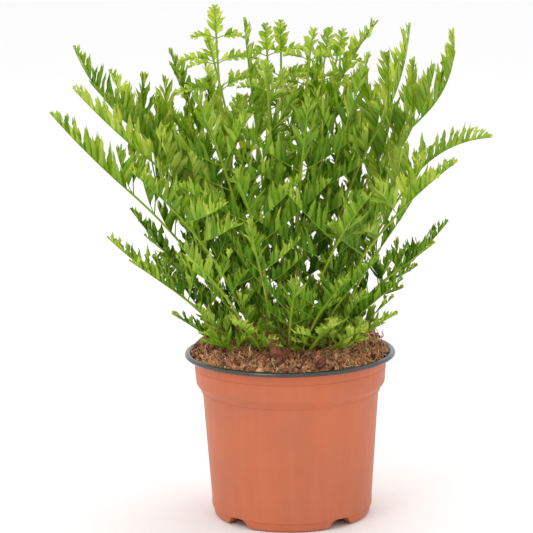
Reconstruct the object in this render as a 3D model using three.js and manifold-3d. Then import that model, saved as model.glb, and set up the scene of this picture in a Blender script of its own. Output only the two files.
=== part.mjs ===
// A potted fern: cut-leaved fronds rising from one crown in a small plastic nursery pot.
// Millimetres, +Z up. While it is built, the pot's axis is X = Y = 0 and the viewer looks along +Y.

import * as THREE from 'three';
import { mergeVertices } from 'three/addons/utils/BufferGeometryUtils.js';
import Module from 'manifold-3d';

const wasm = await Module();
wasm.setup();

// Pot
const POT_HEIGHT = 95;
const LIP_RADIUS = 60;
const MOUTH_RADIUS = 56.4;
const BAND_RADIUS = 54.8;
const BAND_BOTTOM = 77;
const BAND_TAPER = 1.2;
const BODY_TOP = 72.5;
const BODY_TOP_RADIUS = 50.2;
const BODY_FOOT_RADIUS = 45.8;
const WALL = 1.2;
const FOOT_HEIGHT = 5.7;
const FOOT_OUTER = 42;
const FOOT_INNER = 38;
const BODY_BOTTOM = 11;
const FLOOR_EDGE = 9;
const LIP_BOTTOM = 91.4;
const LIP_EDGE = 93.2;
const LIP_ROUND = 1.8;
const NOTCHES = [-133.6, -52.2, 37.8, 131.4];
const NOTCH_WIDTH = 8;
const NOTCH_FLARE = 6;
const NOTCH_DEPTH = 16;
const SIDES = 32;

// Soil
const LEVEL_RADIUS = 31;
const SOIL_RINGS = [31, 43, 54.8];
const SOIL_EDGE = 93.2;
const SOIL_MOUND = 5.5;
const SOIL_TOP_WALL = 90;
const LUMP_HEIGHT = 1.5;
const RIPPLE_HEIGHT = 0.9;
const BACK_RISE = 4;
const PLAY = 0.4;

// Bark: corners of its section as shares of half the width and half the thickness
const BARK_STEPS = 5;
const BARK_SECTION = [[-1, -0.5], [0, -1], [1, -0.4], [0.8, 1], [-0.9, 1]];

// Crown, where the stalks leave the soil
const CROWN = new THREE.Vector2(-3, 0);
const CROWN_REACH = new THREE.Vector2(29, 19);
const ROOT_DEPTH = 7;
const HOLE_LENGTH = 16;

// Fronds
const STALK_STEPS = 3;
const NODE_LENGTH = 1.6;
const RIB = [0.9, 0.5];
const RIB_ROOT = [0.36, 0.32];
const TIP_SHARE = 0.1;
const TIP_FORWARD = 0.42;
const LOBE_VARIATION = 0.14;
const LENGTH_VARIATION = 0.12;
const SPREAD_VARIATION = 4;
const RISE_VARIATION = 5;
const END_TURN = 0.6;
const END_CURL = 0.65;
const BARE_LENGTH = 7;
const BARE_SHARE = 0.18;
const FACE_TILT = 0.25;
const FACE_RISE = 0.8;

const KINDS = {
  outer: {
    ring: 0.62, stalk: [1.7, 1.35], leaf: 62, spread: 50, lift: 40, bend: 24,
    pairs: [[4, 40], [20, 50], [37, 46]],
    lobe: 12.5, spacing: 14, fold: 46, rake: 54,
  },
  arching: {
    ring: 0.62, stalk: [1.6, 1.3], leaf: 46, spread: 70, lift: 20, bend: 12,
    pairs: [[3, 42], [19, 48], [36, 44]],
    lobe: 12.5, spacing: 14, fold: 44, rake: 60,
  },
  inner: {
    ring: 0.3, stalk: [1.6, 1.3], leaf: 54, spread: 48, lift: 30, bend: 22,
    pairs: [[4, 36], [19, 44], [35, 40]],
    lobe: 11.5, spacing: 14, fold: 42, rake: 54,
  },
  young: {
    ring: 0.2, stalk: [1.4, 1.2], leaf: 17, spread: 62, lift: 14, bend: -52,
    pairs: [[1, 18], [15, 24], [31, 30]],
    lobe: 6.5, spacing: 10, fold: 30, rake: 58,
  },
  middle: {
    ring: 0.84, stalk: [1.5, 1.3], leaf: 40, spread: 62, lift: 26, bend: 14,
    pairs: [[3, 28], [15, 30]],
    lobe: 9.5, spacing: 12, fold: 38, rake: 54,
  },
  seedling: {
    ring: 1, stalk: [1.3, 1.1], leaf: 25, spread: 60, lift: 16, bend: -8,
    pairs: [[3, 20]],
    lobe: 9.5, spacing: 7.6, fold: 22, rake: 50,
  },
};

// Each frond: kind, azimuth and lean of its stalk, length in all, bow of the stalk,
// curl of its tip and roll about its midrib, in degrees and millimetres
const FRONDS = [
  ['outer', 178, 36, 183, 12, -12, -12],
  ['outer', 163, 28.5, 224, 26, -50, -30],
  ['outer', 192, 26, 200, 24, -14, -30],
  ['outer', 2, 28.5, 172, 6, 80, 20],
  ['outer', 14, 25.5, 222, 24, -84, 10],
  ['outer', -14, 16, 203, 14, -40, 40],
  ['outer', 44, 34, 188, 8, -20, 12],
  ['outer', 78, 30, 196, 8, -14, -10],
  ['outer', 112, 33, 194, 8, -14, 10],
  ['outer', 140, 36, 196, 8, -20, -8],
  ['arching', 222, 33, 152, 12, 14, -10],
  ['arching', 256, 30, 150, 12, 18, 12],
  ['arching', 296, 34, 140, 12, 18, -12],
  ['arching', 326, 34, 156, 12, 14, 10],
  ['young', 172, 9.5, 203, -8, 6, -76],
  ['inner', 215, 4, 194, 4, -4, -20],
  ['young', 112, 5, 188, 2, 10, -20],
  ['young', -40, 5, 188, 4, 12, -30],
  ['inner', 173, 16.5, 184, 4, -4, -60],
  ['inner', 10, 7.5, 204, 16, 25, 60],
  ['inner', 321, 15, 184, 5, 4, -40],
  ['arching', 236, 19, 172, 8, 12, 24],
  ['young', 44, 13, 188, 5, 4, 46],
  ['arching', 282, 16, 166, 8, 14, -10],
  ['middle', 186, 45, 104, 8, -12, 8],
  ['middle', 170, 36, 106, 8, -12, -14],
  ['middle', 204, 44, 94, 8, 4, 12],
  ['middle', 13, 43, 106, 14, -28, -8],
  ['middle', 342, 27, 112, 8, -4, 14],
  ['middle', 328, 42, 74, 6, 8, -16],
  ['middle', 30, 50, 98, 10, 4, 14],
  ['middle', 64, 50, 106, 10, 8, -12],
  ['middle', 100, 48, 106, 10, 6, 10],
  ['middle', 140, 50, 104, 10, 6, -10],
  ['middle', 234, 38, 106, 10, 8, 14],
  ['middle', 258, 32, 112, 10, -10, -10],
  ['middle', 290, 46, 96, 10, 8, 10],
  ['seedling', 195, 50, 46, 2, 10, -20],
  ['seedling', 216, 40, 48, 2, 12, 24],
  ['seedling', 242, 26, 50, 2, 14, -16],
  ['seedling', 279, 30, 50, 2, 12, 18],
  ['seedling', 306, 58, 52, 2, 14, -20],
  ['seedling', 315, 36, 56, 2, 12, 22],
  ['seedling', 335, 52, 50, 2, 14, -14],
  ['seedling', 356, 42, 48, 2, 10, 20],
  ['seedling', 47, 48, 46, 2, 8, -18],
  ['seedling', 120, 46, 46, 2, 8, -20],
  ['young', 90, 7, 190, 3, 8, -8],
  ['young', 250, 6, 172, 3, 10, 20],
  ['young', 140, 15, 188, 3, 8, -50],
  ['young', 66, 19, 192, 3, 8, 24],
  ['seedling', 228, 56, 44, 2, 14, 20],
  ['seedling', 250, 50, 56, 4, 26, -20],
  ['seedling', 290, 54, 60, 4, 26, 10],
  ['middle', 274, 44, 90, 10, 8, -8],
  ['middle', 306, 38, 94, 10, 8, 10],
];

// Swing, lift and share of its length that a leaf takes where its first place is not free
const WAYS = [
  [0, 0, 1], [11, 0, 1], [-11, 0, 1], [0, 12, 1], [0, -12, 1], [0, 0, 0.8], [14, 12, 0.85],
  [-14, 12, 0.85], [14, -12, 0.8], [-14, -12, 0.8], [24, 6, 0.75], [-24, 6, 0.75], [0, 0, 0.6],
  [20, 20, 0.6], [-20, 20, 0.6], [0, -22, 0.6],
];

const CLEARANCE = 0.35;

const POT_COLOUR = new THREE.MeshStandardMaterial({ color: 0xcb7557, roughness: 0.5, metalness: 0 });
const SOIL_COLOUR = new THREE.MeshStandardMaterial({ color: 0x6e4c31, roughness: 1, metalness: 0 });
const BARK_COLOUR = new THREE.MeshStandardMaterial({ color: 0x6b4030, roughness: 0.9, metalness: 0 });
const LEAF_COLOUR = new THREE.MeshStandardMaterial({ color: 0x6d8c2c, roughness: 0.6, metalness: 0 });

const UP = new THREE.Vector3(0, 0, 1);
const radians = THREE.MathUtils.degToRad;

// A repeatable draw from 0 to 1 for three whole numbers
function draw(a, b, c) {
  const wave = Math.sin(a * 12.9898 + b * 78.233 + c * 37.719) * 43758.5453;
  return wave - Math.floor(wave);
}

// A repeatable factor from 1 - most to 1 + most
function varied(most, a, b, c) {
  return 1 + most * (2 * draw(a, b, c) - 1);
}

// The sum of vectors, each times its own factor
function blend(...terms) {
  const sum = new THREE.Vector3();
  terms.forEach(([vector, factor]) => sum.addScaledVector(vector, factor));
  return sum;
}

// A surface gathered point by point and face by face
class Shell {
  constructor() {
    this.points = [];
    this.faces = [];
  }

  point(vector) {
    this.points.push(vector.x, vector.y, vector.z);
    return this.points.length / 3 - 1;
  }

  // A flat or bent face given by its corners in turn, as a fan from the first
  face(corners, flip = false) {
    const ring = flip ? [...corners].reverse() : corners;
    const start = flip ? ring.length - 1 : 0;
    for (let i = 1; i < ring.length - 1; i++) {
      const at = (k) => ring[(start + k) % ring.length];
      this.faces.push(at(0), at(i), at(i + 1));
    }
  }

  solid() {
    return new wasm.Manifold(new wasm.Mesh({
      numProp: 3,
      vertProperties: new Float32Array(this.points),
      triVerts: new Uint32Array(this.faces),
    }));
  }
}

function solidOf(geometry) {
  const bare = geometry.clone();
  bare.deleteAttribute('normal');
  bare.deleteAttribute('uv');
  const merged = mergeVertices(bare, 1e-4);
  return new wasm.Manifold(new wasm.Mesh({
    numProp: 3,
    vertProperties: new Float32Array(merged.attributes.position.array),
    triVerts: new Uint32Array(merged.index.array),
  }));
}

function meshOf(name, solid, material) {
  const { vertProperties, triVerts } = solid.getMesh();
  const geometry = new THREE.BufferGeometry();
  geometry.setAttribute('position', new THREE.BufferAttribute(vertProperties, 3));
  geometry.setIndex(new THREE.BufferAttribute(triVerts, 1));
  geometry.computeVertexNormals();
  const mesh = new THREE.Mesh(geometry, material);
  mesh.name = name;
  return mesh;
}

// The pot: one turned wall with a rolled lip, and notches that leave four feet
function potSolid() {
  const profile = [
    [0, FOOT_HEIGHT], [FOOT_INNER - 1, FOOT_HEIGHT], [FOOT_INNER, 0], [FOOT_OUTER, 0],
    [FOOT_OUTER + 2.2, 1.6], [FOOT_OUTER + 3, 5], [BODY_FOOT_RADIUS, BODY_BOTTOM],
    [BODY_TOP_RADIUS, BODY_TOP], [BAND_RADIUS - BAND_TAPER, BAND_BOTTOM], [BAND_RADIUS, LIP_BOTTOM],
    [LIP_RADIUS - 1, LIP_BOTTOM + 0.2], [LIP_RADIUS, LIP_EDGE], [LIP_RADIUS - LIP_ROUND, POT_HEIGHT],
    [MOUTH_RADIUS, LIP_EDGE + 0.4], [BAND_RADIUS - WALL, LIP_BOTTOM - 0.8],
    [BAND_RADIUS - BAND_TAPER - WALL, BAND_BOTTOM + 0.5], [BODY_TOP_RADIUS - WALL, BODY_TOP + 0.5],
    [BODY_FOOT_RADIUS - WALL, FLOOR_EDGE], [FOOT_INNER, FOOT_HEIGHT + WALL], [0, FOOT_HEIGHT + WALL],
  ].map(([r, z]) => new THREE.Vector2(r, z));
  const turned = new THREE.LatheGeometry(profile, SIDES);
  turned.rotateX(Math.PI / 2);
  let pot = solidOf(turned);
  const half = NOTCH_WIDTH / 2;
  const notch = new THREE.Shape([
    new THREE.Vector2(-half - NOTCH_FLARE, -1), new THREE.Vector2(half + NOTCH_FLARE, -1),
    new THREE.Vector2(half, FOOT_HEIGHT), new THREE.Vector2(-half, FOOT_HEIGHT),
  ]);
  NOTCHES.forEach((azimuth) => {
    const cutter = new THREE.ExtrudeGeometry(notch, { depth: NOTCH_DEPTH, bevelEnabled: false });
    cutter.translate(0, 0, -(FOOT_OUTER + 6));
    cutter.rotateX(Math.PI / 2);
    cutter.rotateZ(radians(azimuth + 90));
    pot = pot.subtract(solidOf(cutter));
  });
  return pot;
}

// Height of the soil: level round the crown, with lumps outside it, and higher at the back
function soilHeight(x, y) {
  const out = Math.hypot(x, y);
  const slope = Math.min(1, Math.max(0, (out - LEVEL_RADIUS) / (MOUTH_RADIUS - LEVEL_RADIUS)));
  const lumps = LUMP_HEIGHT * Math.sin(0.29 * x + 1.3) * Math.cos(0.23 * y - 0.4);
  const ripples = RIPPLE_HEIGHT * Math.sin(0.53 * x - 0.41 * y);
  const rise = BACK_RISE * Math.max(0, y / MOUTH_RADIUS);
  const rough = Math.min(1, 4 * slope) * (1 - 0.6 * slope);
  return SOIL_EDGE + SOIL_MOUND * (1 - slope ** 2) + rough * (lumps + ripples + rise);
}

// The soil: fills the pot up to the lip and mounds above it
function soilSolid() {
  const shell = new Shell();
  const walls = [
    [BAND_RADIUS - WALL - 2 * PLAY, SOIL_TOP_WALL], [BODY_TOP_RADIUS - WALL - PLAY, BODY_TOP + 0.7],
    [BODY_FOOT_RADIUS - WALL - PLAY, FLOOR_EDGE + PLAY],
  ];
  const ringOf = (radius, height) => Array.from({ length: SIDES }, (_, i) => {
    const turn = (2 * Math.PI * i) / SIDES;
    const x = radius * Math.cos(turn);
    const y = radius * Math.sin(turn);
    return shell.point(new THREE.Vector3(x, y, height ?? soilHeight(x, y)));
  });
  const rings = [
    ...SOIL_RINGS.map((radius) => ringOf(radius)),
    ...walls.map(([radius, height]) => ringOf(radius, height)),
  ];
  const top = shell.point(new THREE.Vector3(0, 0, soilHeight(0, 0)));
  const bottom = shell.point(new THREE.Vector3(0, 0, FOOT_HEIGHT + WALL + PLAY));
  for (let i = 0; i < SIDES; i++) {
    const j = (i + 1) % SIDES;
    shell.face([top, rings[0][i], rings[0][j]]);
    for (let k = 1; k < rings.length; k++) {
      shell.face([rings[k - 1][i], rings[k][i], rings[k][j], rings[k - 1][j]]);
    }
    shell.face([bottom, rings.at(-1)[j], rings.at(-1)[i]]);
  }
  return shell.solid();
}

// Walls between two rings with as many corners
function link(shell, ring, next) {
  ring.forEach((_, k) => {
    const turn = (k + 1) % ring.length;
    shell.face([ring[k], ring[turn], next[turn], next[k]]);
  });
}

// A strip of bark: a bent, uneven slab
function barkSolid(length, width, thickness, place, seed, grow = 0) {
  const shell = new Shell();
  const rings = [];
  for (let i = 0; i <= BARK_STEPS; i++) {
    const wide = (width / 2) * (0.8 + 0.35 * draw(seed, i, 1)) + grow;
    const thick = (thickness / 2) * (0.8 + 0.5 * draw(seed, i, 2)) + grow;
    const shift = thickness * (draw(seed, i, 3) - 0.5) * 0.5;
    const z = (i / BARK_STEPS - 0.5) * (length + 2 * grow);
    rings.push(BARK_SECTION.map(([x, y]) => (
      shell.point(new THREE.Vector3(x * wide, y * thick + shift, z).applyMatrix4(place))
    )));
  }
  rings.slice(1).forEach((ring, i) => link(shell, rings[i], ring));
  shell.face([...rings[0]].reverse());
  shell.face(rings.at(-1));
  return shell.solid();
}

// A curve that leaves along one direction and ends along another
function bow(start, first, last, length) {
  const middle = blend([start, 1], [first, length / 2]);
  return new THREE.QuadraticBezierCurve3(start, middle, blend([middle, 1], [last, length / 2]));
}

// Point, forward, sideways and upper directions on a rib
function frameAt(rib, face, t) {
  const along = rib.getTangent(t).normalize();
  const upper = blend([face, 1], [along, -face.dot(along)]).normalize();
  const side = new THREE.Vector3().crossVectors(along, upper);
  return { point: rib.getPoint(t), along, side, upper };
}

// One square ring round a stalk, which thins towards its end
function stalkRing(shell, frond, t, grow = 0) {
  const [thick, thin] = frond.kind.stalk;
  const { point, along, side, upper } = frameAt(frond.stalk, frond.face, t);
  const half = (thick + (thin - thick) * t) / 2 + grow;
  const middle = t === 0 ? blend([point, 1], [along, -grow]) : point;
  const corner = (across, above) => (
    shell.point(blend([middle, 1], [side, across * half], [upper, above * half]))
  );
  return [corner(1, 1), corner(1, -1), corner(-1, -1), corner(-1, 1)];
}

function stalkSolid(frond, grow = 0, to = 1, steps = STALK_STEPS) {
  const shell = new Shell();
  const rings = Array.from({ length: steps + 1 }, (_, i) => stalkRing(shell, frond, (to * i) / steps, grow));
  rings.slice(1).forEach((ring, i) => link(shell, rings[i], ring));
  shell.face([...rings[0]].reverse());
  shell.face(rings.at(-1));
  return shell.solid();
}

// How long the lobes are along a leaf: short at its foot, longest past it, shrinking to the tip
function lobeShare(t) {
  return Math.min(1, 0.62 + 1.9 * t) * (1 - 0.72 * t ** 1.6);
}

// Where the lobes of a leaf join its rib
function stationsOf(leaf) {
  const bare = leaf.bare / leaf.length;
  const span = 1 - TIP_SHARE - bare;
  const count = Math.max(2, Math.round((leaf.length * span) / leaf.spacing));
  const shares = Array.from({ length: count + 1 }, (_, i) => bare + (span * i) / count);
  return leaf.bare > 0 ? [0, ...shares] : shares;
}

// One lobe between two stations of the rib, drawn to a point that is folded up out of the leaf
function addLobe(shell, leaf, shares, i, sign, near, far, grow) {
  const middle = frameAt(leaf.rib, leaf.face, (shares[i] + shares[i + 1]) / 2);
  const root = leaf.rib.getPoint(shares[i]);
  const fold = radians(leaf.fold);
  const rake = radians(leaf.rake);
  const out = blend([middle.side, sign * Math.cos(fold)], [middle.upper, Math.sin(fold)]);
  const away = blend([middle.along, Math.cos(rake)], [out, Math.sin(rake)]);
  const long = leaf.lobe * lobeShare(shares[i]) * varied(LOBE_VARIATION, leaf.seed, i, sign + 2) + 2 * grow;
  const step = (shares[i + 1] - shares[i]) * leaf.length * TIP_FORWARD;
  const tip = blend([root, 1], [middle.along, step], [away, long]);
  const over = shell.point(blend([tip, 1], [middle.upper, grow]));
  const under = grow > 0 ? shell.point(blend([tip, 1], [middle.upper, -grow])) : over;
  const flip = sign < 0;
  shell.face([near[0], over, far[0]], flip);
  shell.face([near[1], far[1], under], flip);
  shell.face([...new Set([over, near[0], near[1], under])], flip);
  shell.face([...new Set([far[0], over, under, far[1]])], flip);
}

// A thin leaf from its station `from` on: a flat rib with lobes cut down to it on both sides.
// It gives back its first ring, still open.
function addLeaf(shell, leaf, grow = 0, from = 0) {
  const shares = stationsOf(leaf).slice(from);
  const rings = shares.map((t) => {
    const { point, side, upper } = frameAt(leaf.rib, leaf.face, t);
    const [half, thick] = leaf.bare > 0 && t === 0 ? RIB_ROOT : RIB;
    const corner = (across, above) => shell.point(
      blend([point, 1], [side, across * (half + grow)], [upper, above * (thick + grow)]),
    );
    return [corner(1, 1), corner(1, -1), corner(-1, -1), corner(-1, 1)];
  });
  for (let i = 0; i < shares.length - 1; i++) {
    const [rightTop, rightBottom, leftBottom, leftTop] = rings[i];
    const [nextRightTop, nextRightBottom, nextLeftBottom, nextLeftTop] = rings[i + 1];
    if (leaf.bare > 0 && shares[i] === 0) {
      link(shell, rings[i], rings[i + 1]);
    } else {
      shell.face([rightTop, nextRightTop, nextLeftTop, leftTop]);
      shell.face([leftBottom, nextLeftBottom, nextRightBottom, rightBottom]);
      addLobe(shell, leaf, shares, i, 1, [rightTop, rightBottom], [nextRightTop, nextRightBottom], grow);
      addLobe(shell, leaf, shares, i, -1, [leftTop, leftBottom], [nextLeftTop, nextLeftBottom], grow);
    }
  }
  const end = shell.point(leaf.rib.getPoint(1));
  const last = rings.at(-1);
  last.forEach((corner, k) => shell.face([corner, last[(k + 1) % last.length], end]));
  return rings[0];
}

function leafSolid(leaf, grow, from) {
  const shell = new Shell();
  shell.face(addLeaf(shell, leaf, grow, from).reverse());
  return shell.solid();
}

// A whole frond in one skin: the stalk runs on into the leaf at its end, and each leaf of a pair
// grows out of the side face of a short length of the stalk
function frondSolid(frond, leaves) {
  const shell = new Shell();
  const reach = frond.stalk.getLength();
  const nodes = frond.kind.pairs.map(([below], rank) => (
    [1 - (below + NODE_LENGTH) / reach, 1 - below / reach, rank]
  )).reverse();
  const free = nodes[0][0];
  const plain = Array.from({ length: STALK_STEPS }, (_, i) => (free * i) / STALK_STEPS);
  let last = stalkRing(shell, frond, 0);
  shell.face([...last].reverse());
  const goOn = (ring) => {
    link(shell, last, ring);
    last = ring;
  };
  plain.slice(1).forEach((t) => goOn(stalkRing(shell, frond, t)));
  nodes.forEach(([near, far, rank]) => {
    goOn(stalkRing(shell, frond, near));
    const [rightTop, rightBottom, leftBottom, leftTop] = last;
    const next = stalkRing(shell, frond, far);
    const sides = [
      [leaves.get(2 * rank + 1), [rightTop, rightBottom, next[1], next[0]]],
      [leaves.get(2 * rank + 2), [next[3], next[2], leftBottom, leftTop]],
    ];
    shell.face([leftTop, rightTop, next[0], next[3]]);
    shell.face([rightBottom, leftBottom, next[2], next[1]]);
    sides.forEach(([leaf, root]) => (leaf ? link(shell, root, addLeaf(shell, leaf, 0, 1)) : shell.face(root)));
    last = next;
  });
  const end = leaves.get(0);
  if (end) {
    goOn(addLeaf(shell, end));
  } else {
    goOn(stalkRing(shell, frond, 1));
    shell.face(last);
  }
  return shell.solid();
}

// Directions of a stalk that leans from the vertical: along it and out of its upper face
function leaning(out, lean) {
  const angle = radians(lean);
  return {
    along: blend([UP, Math.cos(angle)], [out, Math.sin(angle)]),
    upper: blend([UP, Math.sin(angle)], [out, -Math.cos(angle)]),
  };
}

function frondPlan([kindName, azimuth, lean, length, bowing, curl, roll], index) {
  const kind = KINDS[kindName];
  const turn = radians(azimuth);
  const out = new THREE.Vector3(Math.cos(turn), Math.sin(turn), 0);
  const x = CROWN.x + CROWN_REACH.x * kind.ring * out.x;
  const y = CROWN.y + CROWN_REACH.y * kind.ring * out.y;
  const start = new THREE.Vector3(x, y, soilHeight(x, y) - ROOT_DEPTH);
  const first = leaning(out, lean - bowing).along;
  const { along, upper } = leaning(out, lean + bowing);
  const stalk = bow(start, first, along, length - kind.leaf);
  const face = upper.clone().applyAxisAngle(along, radians(roll));
  return { index, kindName, kind, out, curl, lean: lean + bowing, stalk, face };
}

// A leaf of a frond: place 0 is the one at the end of the stalk, then the pairs down it
function leafPlan(frond, place, way) {
  const { kind, stalk } = frond;
  const [swing, lift, share] = way;
  const rank = Math.ceil(place / 2) - 1;
  const sign = place % 2 ? 1 : -1;
  const stalkLength = stalk.getLength();
  const common = {
    spacing: kind.spacing, fold: kind.fold, rake: kind.rake, seed: frond.index * 10 + place,
  };
  if (place === 0) {
    const { point, along, side, upper } = frameAt(stalk, frond.face, 1);
    const first = along.clone()
      .applyAxisAngle(upper, radians(swing * END_TURN))
      .applyAxisAngle(side, radians(lift * END_TURN));
    const bent = leaning(frond.out, frond.lean + frond.curl).along;
    const tipward = blend([first, 1 - END_CURL], [bent, END_CURL]).normalize();
    const length = kind.leaf * share;
    const rib = bow(point, first, tipward, length);
    const face = blend([upper, 1], [UP, FACE_RISE]).normalize();
    return { ...common, rib, face, length, bare: 0, lobe: kind.lobe };
  }
  const [below, full] = kind.pairs[rank];
  const t = 1 - (below + NODE_LENGTH / 2) / stalkLength;
  const { point, along, side, upper } = frameAt(stalk, frond.face, t);
  const length = full * share * varied(LENGTH_VARIATION, frond.index, place, 6);
  const spread = radians(kind.spread + swing + SPREAD_VARIATION * (2 * draw(frond.index, place, 7) - 1));
  const rise = radians(kind.lift + lift + RISE_VARIATION * (2 * draw(frond.index, place, 8) - 1));
  const across = blend([side, sign * Math.cos(rise)], [upper, Math.sin(rise)]);
  const first = blend([along, Math.cos(spread)], [across, Math.sin(spread)]);
  const hinge = new THREE.Vector3().crossVectors(first, UP).normalize();
  const last = first.clone().applyAxisAngle(hinge, radians(kind.bend));
  const rib = bow(point, first, last, length);
  const face = blend([upper, 1], [side, -sign * FACE_TILT], [UP, FACE_RISE]).normalize();
  const bare = Math.min(BARE_LENGTH, length * BARE_SHARE);
  return { ...common, rib, face, length, bare, lobe: kind.lobe * (0.55 + 0.011 * length) };
}

function boxesMeet(a, b) {
  return [0, 1, 2].every((axis) => a.min[axis] <= b.max[axis] && b.min[axis] <= a.max[axis]);
}

const plans = FRONDS.map(frondPlan);
const taken = [];

function take(owner, solid) {
  taken.push({ owner, solid, box: solid.boundingBox() });
}

function isFree(owner, solid) {
  const box = solid.boundingBox();
  return taken.every((other) => other.owner === owner || !boxesMeet(box, other.box)
    || solid.intersect(other.solid).isEmpty());
}

// Bark pieces: length, width, thickness, centre, turns about X, Y and Z, and a seed for their edges.
// One leans in the soil at the front, the other lies beside it.
const BARK_PLACES = [
  ['bark_strip', 25, 8.5, 5, [-7, -40, 101], [-0.55, -0.27, 0.3], 3],
  ['bark_chip', 13, 8, 3.5, [16.5, -45, soilHeight(16.5, -45) + 0.8], [1.5, 0.2, 1.1], 8],
];

const barks = BARK_PLACES.map(([name, length, width, thickness, centre, turns, seed]) => {
  const place = new THREE.Matrix4().makeRotationFromEuler(new THREE.Euler(...turns)).setPosition(...centre);
  const solidAt = (grow) => barkSolid(length, width, thickness, place, seed, grow);
  return { name, solid: solidAt(0), socket: solidAt(PLAY) };
});

// The soil with plain holes for the stalks and sockets for the bark
const holes = plans.map((frond) => stalkSolid(frond, PLAY, HOLE_LENGTH / frond.stalk.getLength(), 1));
const soil = wasm.Manifold.difference([soilSolid(), ...holes, ...barks.map((bark) => bark.socket)]);
const pot = potSolid();

take('pot', pot);
take('soil', soil);
barks.forEach((bark) => take(bark.name, bark.socket));
plans.forEach((frond) => take(frond.index, stalkSolid(frond, CLEARANCE)));

// Leaves take their places in turn: first the one at each stalk's end, then pair by pair
const leaves = plans.map(() => new Map());
const own = plans.map((frond) => [stalkSolid(frond)]);
const places = 1 + 2 * Math.max(...Object.values(KINDS).map((kind) => kind.pairs.length));
for (let place = 0; place < places; place++) {
  plans.filter((frond) => place <= 2 * frond.kind.pairs.length).forEach((frond) => {
    const fitting = WAYS.map((way) => leafPlan(frond, place, way)).find((leaf) => (
      isFree(frond.index, leafSolid(leaf, CLEARANCE))
      && own[frond.index].every((body) => place === 0 || leafSolid(leaf, 0, 1).intersect(body).isEmpty())
    ));
    if (fitting) {
      leaves[frond.index].set(place, fitting);
      own[frond.index].push(leafSolid(fitting, 0, 1));
      take(frond.index, leafSolid(fitting, CLEARANCE));
    }
  });
}

const fern = new THREE.Group();
fern.add(meshOf('pot', pot, POT_COLOUR));
fern.add(meshOf('soil', soil, SOIL_COLOUR));
barks.forEach((bark) => fern.add(meshOf(bark.name, bark.solid, BARK_COLOUR)));
plans.forEach((frond, i) => {
  const number = plans.slice(0, i + 1).filter((other) => other.kindName === frond.kindName).length;
  const name = `${frond.kindName}_frond_${String(number).padStart(2, '0')}`;
  fern.add(meshOf(name, frondSolid(frond, leaves[i]), LEAF_COLOUR));
});

// The origin is the middle of the whole plant, on the surface that the pot stands on
const box = new THREE.Box3().setFromObject(fern);
const middle = box.getCenter(new THREE.Vector3());
fern.position.set(-middle.x, -middle.y, -box.min.z);

export default fern;
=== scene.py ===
"""A potted fern: cut-leaved fronds rising from one crown in a small plastic nursery pot.

Lengths are millimetres in the pot's own frame until a mesh is made: the pot's axis is X = Y = 0, +Z is up
and the viewer looks along +Y. A mesh is moved into the frame and turned into metres as it is made.
"""

import math

import bpy
import numpy as np
from mathutils import Euler, Matrix, Vector, noise


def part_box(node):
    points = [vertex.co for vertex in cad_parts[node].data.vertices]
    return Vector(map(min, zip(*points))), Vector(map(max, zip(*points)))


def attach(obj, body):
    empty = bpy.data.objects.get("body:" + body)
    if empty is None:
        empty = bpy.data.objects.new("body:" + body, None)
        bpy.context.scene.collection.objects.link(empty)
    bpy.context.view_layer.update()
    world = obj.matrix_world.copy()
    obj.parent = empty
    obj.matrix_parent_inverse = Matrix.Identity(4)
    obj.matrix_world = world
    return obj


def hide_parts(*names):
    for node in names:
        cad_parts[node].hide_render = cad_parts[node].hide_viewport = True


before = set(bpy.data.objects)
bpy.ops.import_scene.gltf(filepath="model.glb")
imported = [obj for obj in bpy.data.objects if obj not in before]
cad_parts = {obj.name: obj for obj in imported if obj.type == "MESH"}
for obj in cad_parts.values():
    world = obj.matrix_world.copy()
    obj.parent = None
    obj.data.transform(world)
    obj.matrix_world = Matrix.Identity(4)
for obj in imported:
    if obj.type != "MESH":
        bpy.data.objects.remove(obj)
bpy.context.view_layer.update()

MM = 0.001
UP = np.array([0.0, 0.0, 1.0])
pot_low, pot_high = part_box("pot")
SHIFT = np.array([(pot_low.x + pot_high.x) / 2, (pot_low.y + pot_high.y) / 2, 0.0]) / MM

# Pot
POT_HEIGHT = 95.0
LIP_RADIUS = 60.0
MOUTH_RADIUS = 56.4
BAND_RADIUS = 54.8
BAND_BOTTOM = 77.0
BAND_TAPER = 1.2
BODY_TOP = 72.5
BODY_TOP_RADIUS = 50.2
BODY_BOTTOM = 11.0
BODY_FOOT_RADIUS = 45.8
WALL = 1.2
FOOT_HEIGHT = 5.7
FOOT_OUTER = 42.0
FOOT_INNER = 38.0
LIP_BOTTOM = 91.4
LIP_EDGE = 93.2
SEAM_HEIGHT = 86.5
NOTCHES = (-133.6, -52.2, 37.8, 131.4)
NOTCH_HALF = 4.0
NOTCH_FLARE = 6.0
POT_SIDES = 240
FOOT_ROUNDING = 0.8
BODY_ROUNDING = 0.7
LIP_ROUNDING = 0.9
# The mould left a thin ridge up the outside, at this azimuth
RIDGE_AZIMUTH = 299.5
RIDGE_RISE = 0.22
# Edges that turn by more degrees than this look sharp
POT_EDGE = 40
BLADE_EDGE = 75

# Soil
LEVEL_RADIUS = 31.0
SOIL_EDGE = 93.2
SOIL_MOUND = 5.5
LUMP_HEIGHT = 1.5
RIPPLE_HEIGHT = 0.9
BACK_RISE = 4.0
SOIL_ROUGHNESS = 2.1
SOIL_BOTTOM = 7.3
# Clods at the back of the pot: place, breadth and height
CLODS = ((38.0, 20.0, 13.0, 9.0), (-38.0, 16.0, 11.0, 7.0), (20.0, 38.0, 12.0, 6.0), (-16.0, 40.0, 12.0, 5.0))
# Hollows and crumbs: height, fineness and a level in the noise
HOLLOWS = ((1.5, 0.16, 3.0), (1.2, 0.42, 7.0), (0.8, 1.0, 11.0))

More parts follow.
